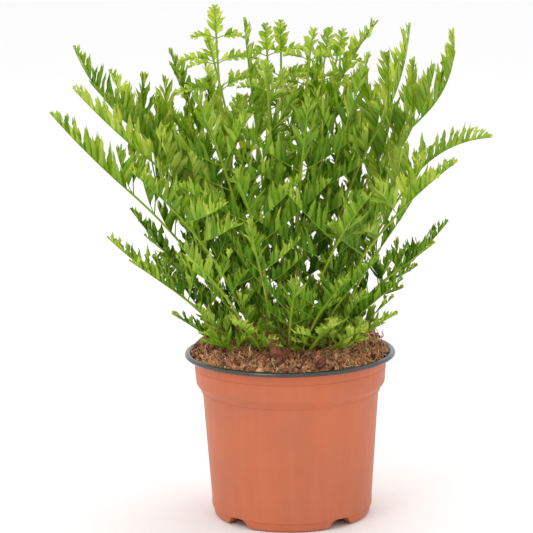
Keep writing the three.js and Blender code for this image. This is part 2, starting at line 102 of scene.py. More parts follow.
# What lies on the soil: how many there are, and the smallest and largest size
CRUMB_COUNT = 2400
PERLITE_COUNT = 30
FINE_SHARE = 0.8
FINE_CRUMB = (0.4, 0.9)
COARSE_CRUMB = (1.0, 2.6)
PERLITE_GRAIN = (0.6, 1.3)
FIBRE_COUNT = 3600
FIBRE_LENGTH = (2.5, 9.0)
FIBRE_WIDTH = (0.16, 0.4)
FIBRE_TAPER = np.array([0.7, 1, 1, 0.95, 0.8, 0.4])
FIBRE_SIDES = 3
FIBRE_REACH = 55.8

# Crown and stalks
CROWN = (-3.0, 0.0)
CROWN_REACH = (29.0, 19.0)
ROOT_DEPTH = 7.0
NODE_LENGTH = 1.6
LENGTH_VARIATION = 0.12
SPREAD_VARIATION = 4.0
RISE_VARIATION = 5.0
END_TURN = 0.6
END_CURL = 0.65
BARE_LENGTH = 7.0
BARE_SHARE = 0.18
FACE_TILT = 0.25
FACE_RISE = 0.8

# What each kind of frond is like, in millimetres and degrees. First how it stands: the ring of the crown that
# it grows from, its stalk's thickness at foot and top, the length of its end leaf, the spread, lift and bend
# of its side leaves, and for each pair of them how far down the stalk it stands and how long it is. Then its
# lobes: their shape, their length in the frame and reach past it, their fold up from the leaf and rake along
# its rib, the step from one to the next, their rise, breadth, unevenness and tone.
KINDS = {
    "outer": dict(
        ring=0.62, stalk=(1.7, 1.35), leaf=62, spread=50, lift=40, bend=24,
        pairs=((4, 40), (20, 50), (37, 46)), small=((56, 36), (76, 28)),
        shape="comb", lobe=12.5, reach=1.5, fold=46, rake=54, step=4.5,
        rise=0.6, breadth=0.84, wild=1.5, tone=0.44,
    ),
    "arching": dict(
        ring=0.62, stalk=(1.6, 1.3), leaf=46, spread=70, lift=20, bend=12,
        pairs=((3, 42), (19, 48), (36, 44)), small=((55, 36), (72, 26)),
        shape="frill", lobe=12.5, reach=1.4, fold=44, rake=60, step=3.6,
        rise=0.5, breadth=1.0, wild=2.0, tone=0.36,
    ),
    "inner": dict(
        ring=0.3, stalk=(1.6, 1.3), leaf=54, spread=48, lift=30, bend=22,
        pairs=((4, 36), (19, 44), (35, 40)), small=((53, 32), (72, 26)),
        shape="frill", lobe=11.5, reach=1.44, fold=42, rake=54, step=3.5,
        rise=0.45, breadth=1.0, wild=2.0, tone=0.4,
    ),
    "young": dict(
        ring=0.2, stalk=(1.4, 1.2), leaf=17, spread=62, lift=14, bend=-52,
        pairs=((1, 18), (15, 24), (31, 30)), small=(),
        shape="round", lobe=6.5, reach=1.3, fold=30, rake=58, step=3.6,
        rise=0.0, breadth=1.0, wild=1.0, tone=0.6,
    ),
    "middle": dict(
        ring=0.84, stalk=(1.5, 1.3), leaf=40, spread=62, lift=26, bend=14,
        pairs=((3, 28), (15, 30)), small=((28, 24), (42, 18)),
        shape="frill", lobe=9.5, reach=1.48, fold=38, rake=54, step=3.3,
        rise=0.5, breadth=1.0, wild=2.0, tone=0.4,
    ),
    "seedling": dict(
        ring=1.0, stalk=(1.3, 1.1), leaf=25, spread=60, lift=16, bend=-8,
        pairs=((3, 20),), small=((13, 16), (22, 12)),
        shape="crisp", lobe=9.5, reach=1.35, fold=22, rake=50, step=3.7,
        rise=0.3, breadth=0.95, wild=1.9, tone=0.84,
    ),
}

# Each frond: kind, azimuth and lean of its stalk, length in all, bow of the stalk,
# curl of its tip and roll about its midrib, in degrees and millimetres
FRONDS = (
    ("outer", 178, 36, 183, 12, -12, -12),
    ("outer", 163, 28.5, 224, 26, -50, -30),
    ("outer", 192, 26, 200, 24, -14, -30),
    ("outer", 2, 28.5, 172, 6, 80, 20),
    ("outer", 14, 25.5, 222, 24, -84, 10),
    ("outer", -14, 16, 203, 14, -40, 40),
    ("outer", 44, 34, 188, 8, -20, 12),
    ("outer", 78, 30, 196, 8, -14, -10),
    ("outer", 112, 33, 194, 8, -14, 10),
    ("outer", 140, 36, 196, 8, -20, -8),
    ("arching", 222, 33, 152, 12, 14, -10),
    ("arching", 256, 30, 150, 12, 18, 12),
    ("arching", 296, 34, 140, 12, 18, -12),
    ("arching", 326, 34, 156, 12, 14, 10),
    ("young", 172, 9.5, 203, -8, 6, -76),
    ("inner", 215, 4, 194, 4, -4, -20),
    ("young", 112, 5, 188, 2, 10, -20),
    ("young", -40, 5, 188, 4, 12, -30),
    ("inner", 173, 16.5, 184, 4, -4, -60),
    ("inner", 10, 7.5, 204, 16, 25, 60),
    ("inner", 321, 15, 184, 5, 4, -40),
    ("arching", 236, 19, 172, 8, 12, 24),
    ("young", 44, 13, 188, 5, 4, 46),
    ("arching", 282, 16, 166, 8, 14, -10),
    ("middle", 186, 45, 104, 8, -12, 8),
    ("middle", 170, 36, 106, 8, -12, -14),
    ("middle", 204, 44, 94, 8, 4, 12),
    ("middle", 13, 43, 106, 14, -28, -8),
    ("middle", 342, 27, 112, 8, -4, 14),
    ("middle", 328, 42, 74, 6, 8, -16),
    ("middle", 30, 50, 98, 10, 4, 14),
    ("middle", 64, 50, 106, 10, 8, -12),
    ("middle", 100, 48, 106, 10, 6, 10),
    ("middle", 140, 50, 104, 10, 6, -10),
    ("middle", 234, 38, 106, 10, 8, 14),
    ("middle", 258, 32, 112, 10, -10, -10),
    ("middle", 290, 46, 96, 10, 8, 10),
    ("seedling", 195, 50, 46, 2, 10, -20),
    ("seedling", 216, 40, 48, 2, 12, 24),
    ("seedling", 242, 26, 50, 2, 14, -16),
    ("seedling", 279, 30, 50, 2, 12, 18),
    ("seedling", 306, 58, 52, 2, 14, -20),
    ("seedling", 315, 36, 56, 2, 12, 22),
    ("seedling", 335, 52, 50, 2, 14, -14),
    ("seedling", 356, 42, 48, 2, 10, 20),
    ("seedling", 47, 48, 46, 2, 8, -18),
    ("seedling", 120, 46, 46, 2, 8, -20),
    ("young", 90, 7, 190, 3, 8, -8),
    ("young", 250, 6, 172, 3, 10, 20),
    ("young", 140, 15, 188, 3, 8, -50),
    ("young", 66, 19, 192, 3, 8, 24),
    ("seedling", 228, 56, 44, 2, 14, 20),
    ("seedling", 250, 50, 56, 4, 26, -20),
    ("seedling", 290, 54, 60, 4, 26, 10),
    ("middle", 274, 44, 90, 10, 8, -8),
    ("middle", 306, 38, 94, 10, 8, 10),
)

# Swing, lift and share of its length that a leaf may have taken in the frame, to keep clear of the others
WAYS = (
    (0, 0, 1), (11, 0, 1), (-11, 0, 1), (0, 12, 1), (0, -12, 1), (0, 0, 0.8), (14, 12, 0.85),
    (-14, 12, 0.85), (14, -12, 0.8), (-14, -12, 0.8), (24, 6, 0.75), (-24, 6, 0.75), (0, 0, 0.6),
    (20, 20, 0.6), (-20, 20, 0.6), (0, -22, 0.6),
)
# A leaf's tip is a corner of the frame's frond when they are this close
SAME_POINT = 0.05


def unit(v):
    """The vectors v, each made one long."""
    return v / np.linalg.norm(v, axis=-1, keepdims=True)


def turned(v, axis, degrees):
    """The vector v turned about a unit axis."""
    a = math.radians(degrees)
    return v * math.cos(a) + np.cross(axis, v) * math.sin(a) + axis * np.dot(axis, v) * (1 - math.cos(a))


def smooth(x):
    """A soft step from 0 to 1."""
    x = np.clip(x, 0, 1)
    return x * x * (3 - 2 * x)


def draw(a, b, c):
    """A repeatable draw from 0 to 1 for three whole numbers, as the frame's fronds use it."""
    wave = math.sin(a * 12.9898 + b * 78.233 + c * 37.719) * 43758.5453
    return wave - math.floor(wave)


class Build:
    """A mesh gathered from blocks of points, faces and values at the points."""

    def __init__(self):
        self.count = 0
        self.points, self.faces, self.skins = [], [], []
        self.values = {"tone": [], "under": [], "u": [], "v": []}

    def add(self, points, faces=(), mixed=(), skin=0, **values):
        """Points with faces that all have as many corners, or mixed ones. A skin is a material's number."""
        points = np.asarray(points, float).reshape(-1, 3)
        self.points.append(points)
        self.faces += (np.asarray(faces, int) + self.count).tolist()
        self.faces += [[self.count + corner for corner in face] for face in mixed]
        self.skins += np.broadcast_to(skin, len(faces) + len(mixed)).tolist()
        for name, kept in self.values.items():
            kept.append(np.broadcast_to(np.asarray(values.get(name, 0.0), float), len(points)).copy())
        self.count += len(points)

    def make(self, name, materials):
        """The piece itself, smooth, in metres and in its place in the frame."""
        mesh = bpy.data.meshes.new(name)
        mesh.from_pydata(((np.concatenate(self.points) + SHIFT) * MM).tolist(), [], self.faces)
        for material in materials:
            mesh.materials.append(material)
        mesh.polygons.foreach_set("material_index", self.skins)
        mesh.shade_smooth()
        for value, kept in self.values.items():
            layer = mesh.attributes.new(value, "FLOAT", "POINT")
            layer.data.foreach_set("value", np.concatenate(kept).astype(np.float32))
        mesh.validate()
        piece = bpy.data.objects.new(name, mesh)
        bpy.context.scene.collection.objects.link(piece)
        return piece


def tube_faces(rings, sides):
    """Faces of a closed tube: four corners each round its rings, then one face for each end."""
    walls = []
    for k in range(rings - 1):
        for i in range(sides):
            j = (i + 1) % sides
            walls.append((k * sides + i, k * sides + j, (k + 1) * sides + j, (k + 1) * sides + i))
    first = tuple(range(sides))[::-1]
    last = tuple((rings - 1) * sides + i for i in range(sides))
    return walls, (first, last)


def tube(path, radii, side, upper, sides, flatten=1.0):
    """Points of a tube round a path, from a sideways and an upper direction at each of its points."""
    turns = 2 * math.pi * np.arange(sides) / sides
    across = np.cos(turns)[None, :, None] * side[:, None, :]
    above = np.sin(turns)[None, :, None] * upper[:, None, :] * flatten
    return path[:, None, :] + np.asarray(radii)[:, None, None] * (across + above)


# Colours and shader nodes


def srgb(red, green, blue):
    """A colour that a screen shows as these three numbers, in the linear values of a shader."""
    shares = [c / 255 for c in (red, green, blue)]
    return tuple(s / 12.92 if s <= 0.04045 else ((s + 0.055) / 1.055) ** 2.4 for s in shares) + (1.0,)


class Graph:
    """Short calls that put nodes into one tree and give back their output sockets."""

    def __init__(self, tree):
        self.tree = tree

    def node(self, kind, *inputs, **settings):
        """A new node with its settings, and its first inputs fed in their order."""
        made = self.tree.nodes.new(kind)
        for name, value in settings.items():
            setattr(made, name, value)
        for socket, value in zip(made.inputs, inputs):
            self.feed(socket, value)
        return made

    def feed(self, socket, value):
        """An input takes a link from an output, or a plain value."""
        if isinstance(value, bpy.types.NodeSocket):
            self.tree.links.new(value, socket)
        elif value is not None:
            socket.default_value = value

    def math(self, operation, a, b=0.0):
        return self.node("ShaderNodeMath", a, b, operation=operation).outputs[0]

    def drift(self, base, grain, amount):
        """The base value, moved up and down by a share of a grain."""
        return self.math("ADD", base, self.math("MULTIPLY", self.math("SUBTRACT", grain, 0.5), amount))

    def noise(self, vector, scale, detail=3.0, rough=0.55, twist=0.0):
        made = self.node("ShaderNodeTexNoise")
        given = {"Vector": vector, "Scale": scale, "Detail": detail, "Roughness": rough, "Distortion": twist}
        for name, value in given.items():
            self.feed(made.inputs[name], value)
        return made.outputs[0]

    def ramp(self, share, *stops):
        """A colour that runs through the stops, each a place from 0 to 1 and a colour."""
        made = self.node("ShaderNodeValToRGB", share)
        line = made.color_ramp.elements
        while len(line) < len(stops):
            line.new(0.5)
        for stop, (place, colour) in zip(line, stops):
            stop.position = place
            stop.color = colour
        return made.outputs[0]

    def span(self, value, low, high, to_low=0.0, to_high=1.0):
        """A value from low to high, moved to the span between the other two."""
        return self.node("ShaderNodeMapRange", value, low, high, to_low, to_high).outputs[0]

    def mix(self, share, a, b, blend="MIX"):
        made = self.node("ShaderNodeMix", data_type="RGBA", blend_type=blend)
        for index, value in ((0, share), (6, a), (7, b)):
            self.feed(made.inputs[index], value)
        return made.outputs[2]

    def value(self, name):
        """A value kept at the points of the mesh."""
        return self.node("ShaderNodeAttribute", attribute_name=name).outputs["Fac"]

    def bump(self, height, strength, distance):
        made = self.node("ShaderNodeBump")
        for name, value in {"Height": height, "Strength": strength, "Distance": distance}.items():
            self.feed(made.inputs[name], value)
        return made.outputs[0]

    def place(self, stretch=(1, 1, 1)):
        """Where on the piece a point lies, with each direction made finer or coarser."""
        where = self.node("ShaderNodeTexCoord").outputs["Object"]
        made = self.node("ShaderNodeMapping", where)
        self.feed(made.inputs["Scale"], stretch)
        return made.outputs[0]


def group(name, inputs, outputs):
    """An empty shader group with named sockets, its graph, and its input and output nodes."""
    tree = bpy.data.node_groups.new(name, "ShaderNodeTree")
    for socket, kind, value in inputs:
        made = tree.interface.new_socket(socket, in_out="INPUT", socket_type=kind)
        made.default_value = value
    for socket, kind in outputs:
        tree.interface.new_socket(socket, in_out="OUTPUT", socket_type=kind)
    return tree, Graph(tree), tree.nodes.new("NodeGroupInput"), tree.nodes.new("NodeGroupOutput")


def uneven_group():
    """Uneven colour: a base colour drifts towards a second one in patches, with fine grain over both."""
    tree, g, given, out = group(
        "uneven colour",
        [("Colour", "NodeSocketColor", (0.5, 0.5, 0.5, 1)),
         ("Patch colour", "NodeSocketColor", (0.4, 0.4, 0.4, 1)),
         ("Patch scale", "NodeSocketFloat", 60.0), ("Patches", "NodeSocketFloat", 0.6),
         ("Grain scale", "NodeSocketFloat", 900.0), ("Grain", "NodeSocketFloat", 0.2)],
        [("Colour", "NodeSocketColor"), ("Height", "NodeSocketFloat")],
    )
    where = g.place()
    patches = g.noise(where, given.outputs["Patch scale"], 4.0)
    share = g.math("MULTIPLY", g.span(patches, 0.38, 0.66), given.outputs["Patches"])
    base = g.mix(share, given.outputs["Colour"], given.outputs["Patch colour"])
    grain = g.noise(where, given.outputs["Grain scale"], 2.0)
    light = g.drift(1.0, grain, given.outputs["Grain"])
    shade = g.node("ShaderNodeCombineColor", light, light, light).outputs[0]
    g.feed(out.inputs["Colour"], g.mix(1.0, base, shade, "MULTIPLY"))
    g.feed(out.inputs["Height"], grain)
    return tree


def broad_patches_group():
    """Broad soft patches of a second colour, full where the noise is past their edge."""
    tree, g, given, out = group(
        "broad patches",
        [("Colour", "NodeSocketColor", (0.5, 0.5, 0.5, 1)),
         ("Patch colour", "NodeSocketColor", (0.4, 0.4, 0.4, 1)),
         ("Patch scale", "NodeSocketFloat", 90.0), ("Edge", "NodeSocketFloat", 0.62),
         ("Depth", "NodeSocketFloat", 0.5)],
        [("Colour", "NodeSocketColor")],
    )
    patches = g.noise(g.place(), given.outputs["Patch scale"], 2.0)
    share = g.span(patches, 0.48, given.outputs["Edge"], 0.0, given.outputs["Depth"])
    g.feed(out.inputs["Colour"], g.mix(share, given.outputs["Colour"], given.outputs["Patch colour"]))
    return tree


def grainy_tone_group():
    """A tone that drifts with a grain, and the grain itself as a height."""
    tree, g, given, out = group(
        "grainy tone",
        [("Tone", "NodeSocketFloat", 0.5), ("Stretch", "NodeSocketVector", (1, 1, 1)),
         ("Grain scale", "NodeSocketFloat", 900.0), ("Grain", "NodeSocketFloat", 0.3)],
        [("Tone", "NodeSocketFloat"), ("Height", "NodeSocketFloat")],
    )
    grain = g.noise(g.place(given.outputs["Stretch"]), given.outputs["Grain scale"])
    g.feed(out.inputs["Tone"], g.drift(given.outputs["Tone"], grain, given.outputs["Grain"]))
    g.feed(out.inputs["Height"], grain)
    return tree


UNEVEN = uneven_group()
BROAD_PATCHES = broad_patches_group()
GRAINY_TONE = grainy_tone_group()


def material(name):
    """A new material with its graph and its Principled shader."""
    made = bpy.data.materials.new(name)
    made.use_nodes = True
    made.node_tree.nodes.clear()
    g = Graph(made.node_tree)
    shader = g.node("ShaderNodeBsdfPrincipled")
    out = g.node("ShaderNodeOutputMaterial")
    made.node_tree.links.new(shader.outputs[0], out.inputs[0])
    return made, g, shader


def placed(g, tree, values):
    """A shader group, placed in a material with its own values: its outputs."""
    made = g.node("ShaderNodeGroup", node_tree=tree)
    for name, value in values.items():
        g.feed(made.inputs[name.replace("_", " ").capitalize()], value)
    return made.outputs


def uneven(g, **values):
    """An uneven colour and the height of its grain."""
    outputs = placed(g, UNEVEN, values)
    return outputs["Colour"], outputs["Height"]


def patched(g, **values):
    """A colour with broad patches of a second one."""
    return placed(g, BROAD_PATCHES, values)["Colour"]


def grainy(g, **values):
    """A tone that drifts with a grain, and the height of the grain."""
    outputs = placed(g, GRAINY_TONE, values)
    return outputs["Tone"], outputs["Height"]


def terracotta_plastic():
    """Matt moulded plastic in terracotta, with paler streaks that run up it."""
    made, g, shader = material("terracotta plastic")
    colour, grain = uneven(
        g, colour=srgb(200, 111, 76), patch_colour=srgb(186, 107, 78), patch_scale=26.0, patches=0.8,
        grain_scale=1500.0, grain=0.10,
    )
    streaks = g.noise(g.place((1, 1, 0.06)), 160.0, 3.0)
    pale = g.span(streaks, 0.45, 0.75, 0.0, 0.18)
    g.feed(shader.inputs["Base Color"], g.mix(pale, colour, srgb(212, 130, 98)))
    g.feed(shader.inputs["Roughness"], g.span(streaks, 0.3, 0.7, 0.40, 0.50))
    shader.inputs["Specular IOR Level"].default_value = 0.2
    g.feed(shader.inputs["Normal"], g.bump(grain, 0.12, 0.0002))
    return made


def black_plastic():
    """Glossy black plastic with specks of dry soil."""
    made, g, shader = material("black plastic")
    colour, grain = uneven(
        g, colour=srgb(36, 35, 34), patch_colour=srgb(66, 62, 57), patch_scale=90.0, patches=0.5,
        grain_scale=1300.0, grain=0.3,
    )
    dust = g.span(g.noise(g.place(), 420.0, 5.0), 0.62, 0.72)
    g.feed(shader.inputs["Base Color"], g.mix(g.math("MULTIPLY", dust, 0.45), colour, srgb(112, 84, 60)))
    g.feed(shader.inputs["Roughness"], g.math("ADD", 0.14, g.math("MULTIPLY", dust, 0.5)))
    shader.inputs["Specular IOR Level"].default_value = 0.9
    g.feed(shader.inputs["Normal"], g.bump(grain, 0.15, 0.0002))
    return made


def peat():
    """Coarse peat, darker in damp patches."""
    made, g, shader = material("moist peat")
    clumps = g.noise(g.place(), 230.0, 6.0, 0.65, 0.6)
    strands = g.noise(g.place((1, 0.3, 1)), 900.0, 3.0, 0.6, 1.5)
    share = g.math("ADD", g.math("MULTIPLY", clumps, 0.65), g.math("MULTIPLY", strands, 0.35))
    colour = g.ramp(
        share, (0.38, srgb(56, 28, 16)), (0.46, srgb(146, 92, 60)), (0.53, srgb(222, 158, 114)),
        (0.66, srgb(246, 200, 156)),
    )
    colour = patched(
        g, colour=colour, patch_colour=srgb(52, 30, 18), patch_scale=90.0, edge=0.62, depth=0.6,
    )
    g.feed(shader.inputs["Base Color"], colour)
    shader.inputs["Roughness"].default_value = 0.95
    g.feed(shader.inputs["Normal"], g.bump(share, 0.9, 0.0012))
    return made


def coir():
    """Fibres and crumbs, each with a tone of its own, darker in damp patches."""
    made, g, shader = material("coir and crumbs")
    tone, grain = grainy(g, tone=g.value("tone"), stretch=(1, 1, 1), grain_scale=1600.0, grain=0.35)
    colour = g.ramp(
        tone, (0.0, srgb(70, 36, 22)), (0.3, srgb(172, 108, 70)), (0.6, srgb(236, 168, 120)),
        (0.85, srgb(250, 200, 148)), (1.0, srgb(250, 216, 168)),
    )
    colour = patched(
        g, colour=colour, patch_colour=srgb(74, 46, 26), patch_scale=90.0, edge=0.62, depth=0.3,
    )
    g.feed(shader.inputs["Base Color"], colour)
    shader.inputs["Roughness"].default_value = 0.85
    g.feed(shader.inputs["Normal"], g.bump(grain, 0.5, 0.0004))
    return made


def perlite():
    """Chalky white grains, stained by the soil."""
    made, g, shader = material("perlite")
    colour, grain = uneven(
        g, colour=srgb(236, 230, 216), patch_colour=srgb(206, 190, 164), patch_scale=500.0, patches=0.8,
        grain_scale=2500.0, grain=0.2,
    )
    g.feed(shader.inputs["Base Color"], colour)
    shader.inputs["Roughness"].default_value = 0.9
    g.feed(shader.inputs["Normal"], g.bump(grain, 0.6, 0.0003))
    return made


def bark():
    """Red-brown bark with a long grain and paler flakes."""
    made, g, shader = material("pine bark")
    where = g.node("ShaderNodeCombineXYZ", g.value("u"), g.value("v"), 0.0).outputs[0]
    long_grain = g.node("ShaderNodeMapping", where)
    long_grain.inputs["Scale"].default_value = (1.0, 0.16, 1.0)
    grain = g.noise(long_grain.outputs[0], 1.1, 6.0, 0.65, 0.8)
    flakes = g.noise(where, 0.35, 4.0, 0.5, 0.5)
    share = g.math("ADD", g.math("MULTIPLY", grain, 0.7), g.math("MULTIPLY", flakes, 0.3))
    colour = g.ramp(
        share, (0.36, srgb(48, 22, 16)), (0.46, srgb(108, 56, 38)), (0.55, srgb(150, 88, 64)),
        (0.68, srgb(186, 130, 104)),
    )
    g.feed(shader.inputs["Base Color"], colour)
    shader.inputs["Roughness"].default_value = 0.8
    g.feed(shader.inputs["Normal"], g.bump(grain, 0.8, 0.0008))
    return made


def leaf_blade():
    """Leaf tissue: yellower towards the tips, paler and matter below, with veins that fork to the edges."""
    made, g, shader = material("fern blade")
    # The tone carries painted shade: darker deep in the plant and between two lobes
    tone, under = g.value("tone"), g.value("under")
    across, along = g.value("u"), g.value("v")
    from_rib = g.math("ABSOLUTE", g.math("SUBTRACT", across, 0.5))
    wave = g.math("SUBTRACT", g.math("MULTIPLY", along, 0.9), g.math("MULTIPLY", from_rib, 3.2))
    saw = g.math("ABSOLUTE", g.math("SUBTRACT", g.math("FRACT", wave), 0.5))
    side_vein = g.span(saw, 0.0, 0.2, 1.0, 0.0)
    mid_vein = g.span(from_rib, 0.0, 0.08, 1.0, 0.0)
    vein = g.math("MAXIMUM", g.math("MULTIPLY", side_vein, 0.5), mid_vein)
    share, _ = grainy(g, tone=tone, stretch=(1, 1, 1), grain_scale=110.0, grain=0.55)
    share = g.math("ADD", share, g.math("MULTIPLY", vein, 0.10))
    upper = g.ramp(
        share, (0.0, srgb(50, 90, 0)), (0.3, srgb(98, 144, 0)), (0.62, srgb(154, 191, 16)),
        (1.0, srgb(212, 226, 86)),
    )
    lower = g.ramp(
        share, (0.0, srgb(66, 104, 12)), (0.5, srgb(122, 158, 36)), (1.0, srgb(180, 202, 84)),
    )
    colour = patched(
        g, colour=g.mix(under, upper, lower), patch_colour=srgb(74, 118, 34), patch_scale=30.0, edge=0.66,
        depth=0.42,
    )
    g.feed(shader.inputs["Base Color"], colour)
    g.feed(shader.inputs["Roughness"], g.span(under, 0.0, 1.0, 0.42, 0.62))
    shader.inputs["Specular IOR Level"].default_value = 0.14
    g.feed(shader.inputs["Normal"], g.bump(vein, 0.35, 0.0003))
    return made


def leaf_stalk():
    """Stalks and midribs: green above, straw-coloured lower down, with fine lengthwise grain."""
    made, g, shader = material("fern stalk")
    tone, grain = grainy(g, tone=g.value("tone"), stretch=(1, 1, 0.12), grain_scale=900.0, grain=0.3)
    colour = g.ramp(
        tone, (0.0, srgb(140, 122, 52)), (0.2, srgb(192, 196, 86)), (0.5, srgb(176, 194, 64)),
        (0.75, srgb(144, 174, 38)), (1.0, srgb(126, 162, 28)),
    )
    g.feed(shader.inputs["Base Color"], colour)
    shader.inputs["Roughness"].default_value = 0.45
    shader.inputs["Specular IOR Level"].default_value = 0.3
    g.feed(shader.inputs["Normal"], g.bump(grain, 0.25, 0.0002))
    return made


TERRACOTTA = terracotta_plastic()
BLACK = black_plastic()
PEAT = peat()
COIR = coir()
PERLITE = perlite()
BARK = bark()
BLADE = leaf_blade()
STALK = leaf_stalk()


def put(piece, node):
    """The piece rides on the plant. It replaces a node if one is named."""
    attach(piece, "root")
    if node:
        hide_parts(node)
    return piece


# The pot


def rounded(corners, radius, steps=4):
    """An outline of points with each inner corner rounded off."""
    outline = [corners[0]]
    for before, corner, after in zip(corners, corners[1:], corners[2:]):
        before, corner, after = map(np.array, (before, corner, after))
        cut = min(radius, 0.45 * np.linalg.norm(corner - before), 0.45 * np.linalg.norm(after - corner))
        start = corner + unit(before - corner) * cut
        end = corner + unit(after - corner) * cut
        for k in range(steps + 1):
            t = k / steps
            outline.append(tuple((1 - t) ** 2 * start + 2 * t * (1 - t) * corner + t * t * end))
    outline.append(corners[-1])
    return outline


def notch_height(x, y):
    """How far the foot is cut away above the ground at a point of its ring."""
    reach = np.zeros_like(x)
    for azimuth in NOTCHES:
        turn = math.radians(azimuth)
        ahead = x * math.cos(turn) + y * math.sin(turn)
        beside = np.abs(-x * math.sin(turn) + y * math.cos(turn))
        height = FOOT_HEIGHT - np.maximum(0, beside - NOTCH_HALF) * (FOOT_HEIGHT + 1) / NOTCH_FLARE
        reach = np.maximum(reach, np.where(ahead > 0, np.clip(height, 0, FOOT_HEIGHT), 0))
    return reach


def pot_outline():
    """Radius and height along the wall, from under its middle round to the floor: foot, body and lip."""
    band_foot = BAND_RADIUS - BAND_TAPER
    foot = rounded(
        [(0, FOOT_HEIGHT), (FOOT_INNER - 1, FOOT_HEIGHT), (FOOT_INNER, 0), (FOOT_OUTER, 0),
         (FOOT_OUTER + 2.2, 0.7), (FOOT_OUTER + 3.1, 4.4), (FOOT_OUTER + 2.9, 4.9),
         (BODY_FOOT_RADIUS, 5.4), (BODY_FOOT_RADIUS + 0.05, BODY_BOTTOM)], FOOT_ROUNDING,
    )
    body = rounded(
        [(BODY_FOOT_RADIUS + 0.05, BODY_BOTTOM), (BODY_TOP_RADIUS - 0.15, BODY_TOP - 0.6),
         (BODY_TOP_RADIUS + 1.0, BODY_TOP + 0.1), (BODY_TOP_RADIUS + 0.75, BODY_TOP + 0.9),
         (band_foot, BAND_BOTTOM),
         (BAND_RADIUS - 0.45, SEAM_HEIGHT - 0.25), (BAND_RADIUS - 0.75, SEAM_HEIGHT),
         (BAND_RADIUS - 0.35, SEAM_HEIGHT + 0.35), (BAND_RADIUS, LIP_BOTTOM),
         (BAND_RADIUS + 0.4, LIP_BOTTOM + 0.8), (LIP_RADIUS - 0.7, LIP_BOTTOM + 1.0)], BODY_ROUNDING,
    )
    lip = rounded(
        [(LIP_RADIUS - 0.7, LIP_BOTTOM + 1.0), (LIP_RADIUS, LIP_EDGE - 0.2),
         (LIP_RADIUS - 0.5, POT_HEIGHT - 0.5), (LIP_RADIUS - 2.2, POT_HEIGHT), (MOUTH_RADIUS, LIP_EDGE + 0.9),
         (BAND_RADIUS - WALL, LIP_BOTTOM - 0.8), (band_foot - WALL, BAND_BOTTOM + 0.5),
         (BODY_TOP_RADIUS - WALL, BODY_TOP + 0.5), (BODY_FOOT_RADIUS - WALL, 9),
         (FOOT_INNER, FOOT_HEIGHT + WALL), (0, FOOT_HEIGHT + WALL)], LIP_ROUNDING,
    )
    return foot, body, lip


def pot():
    """One turned wall: terracotta outside, black inside and on the rolled lip, cut by notches in its foot."""
    foot, body, lip = pot_outline()
    outline = foot + body[1:] + lip[1:]
    first_black = len(foot) + len(body) - 2
    turns = 2 * math.pi * np.arange(POT_SIDES) / POT_SIDES
    ridge = np.zeros(POT_SIDES)
    ridge[round(RIDGE_AZIMUTH / 360 * POT_SIDES)] = RIDGE_RISE
    rings = outline[1:-1]
    points, faces, skins = [(0, 0, outline[0][1])], [], []
    for k, (radius, height) in enumerate(rings):
        wide = radius + (ridge if len(foot) < k < first_black else 0)
        x, y = wide * np.cos(turns), wide * np.sin(turns)
        z = np.full(POT_SIDES, height)
        under_the_foot = height < FOOT_HEIGHT and radius > FOOT_INNER - 1.5
        if under_the_foot:
            z = np.maximum(z, notch_height(x, y))
        points += list(zip(x, y, z))
    points.append((0, 0, outline[-1][1]))
    last_ring = 1 + (len(rings) - 1) * POT_SIDES
    for i in range(POT_SIDES):
        j = (i + 1) % POT_SIDES
        faces.append((0, 1 + j, 1 + i))
        skins.append(0)
        for k in range(len(rings) - 1):
            low, high = 1 + k * POT_SIDES, 1 + (k + 1) * POT_SIDES
            faces.append((low + i, low + j, high + j, high + i))
            skins.append(1 if k + 1 >= first_black else 0)
        faces.append((last_ring + i, last_ring + j, len(points) - 1))
        skins.append(1)
    build = Build()
    build.add(points, mixed=faces, skin=skins)
    piece = build.make("nursery_pot", [TERRACOTTA, BLACK])
    piece.data.set_sharp_from_angle(angle=math.radians(POT_EDGE))
    return put(piece, "pot")


# The soil


def soil_height(x, y):
    """Height of the soil as the frame has it: a mound with lumps, higher at the back."""
    out = np.hypot(x, y)
    slope = np.clip((out - LEVEL_RADIUS) / (MOUTH_RADIUS - LEVEL_RADIUS), 0, 1)
    lumps = LUMP_HEIGHT * np.sin(0.29 * x + 1.3) * np.cos(0.23 * y - 0.4)
    ripples = RIPPLE_HEIGHT * np.sin(0.53 * x - 0.41 * y)
    rise = BACK_RISE * np.maximum(0, y / MOUTH_RADIUS)
    rough = np.minimum(1, 4 * slope) * (1 - 0.6 * slope)
    return SOIL_EDGE + SOIL_MOUND * (1 - slope ** 2) + rough * (lumps + ripples + rise)


def crumbly(x, y):
    """Height of the soil with its clods, crumbs and hollows."""
    clods = sum(high * np.exp(-((x - cx) ** 2 + (y - cy) ** 2) / wide ** 2) for cx, cy, wide, high in CLODS)
    hollows = np.array([
        sum(high * noise.noise(Vector((a * fine, b * fine, level))) for high, fine, level in HOLLOWS)
        for a, b in zip(np.ravel(x), np.ravel(y))
    ]).reshape(np.shape(x))
    edge = smooth((MOUTH_RADIUS + 1 - np.hypot(x, y)) / 8)
    return soil_height(x, y) + clods + hollows * (0.35 + 0.65 * edge) * SOIL_ROUGHNESS - 0.5


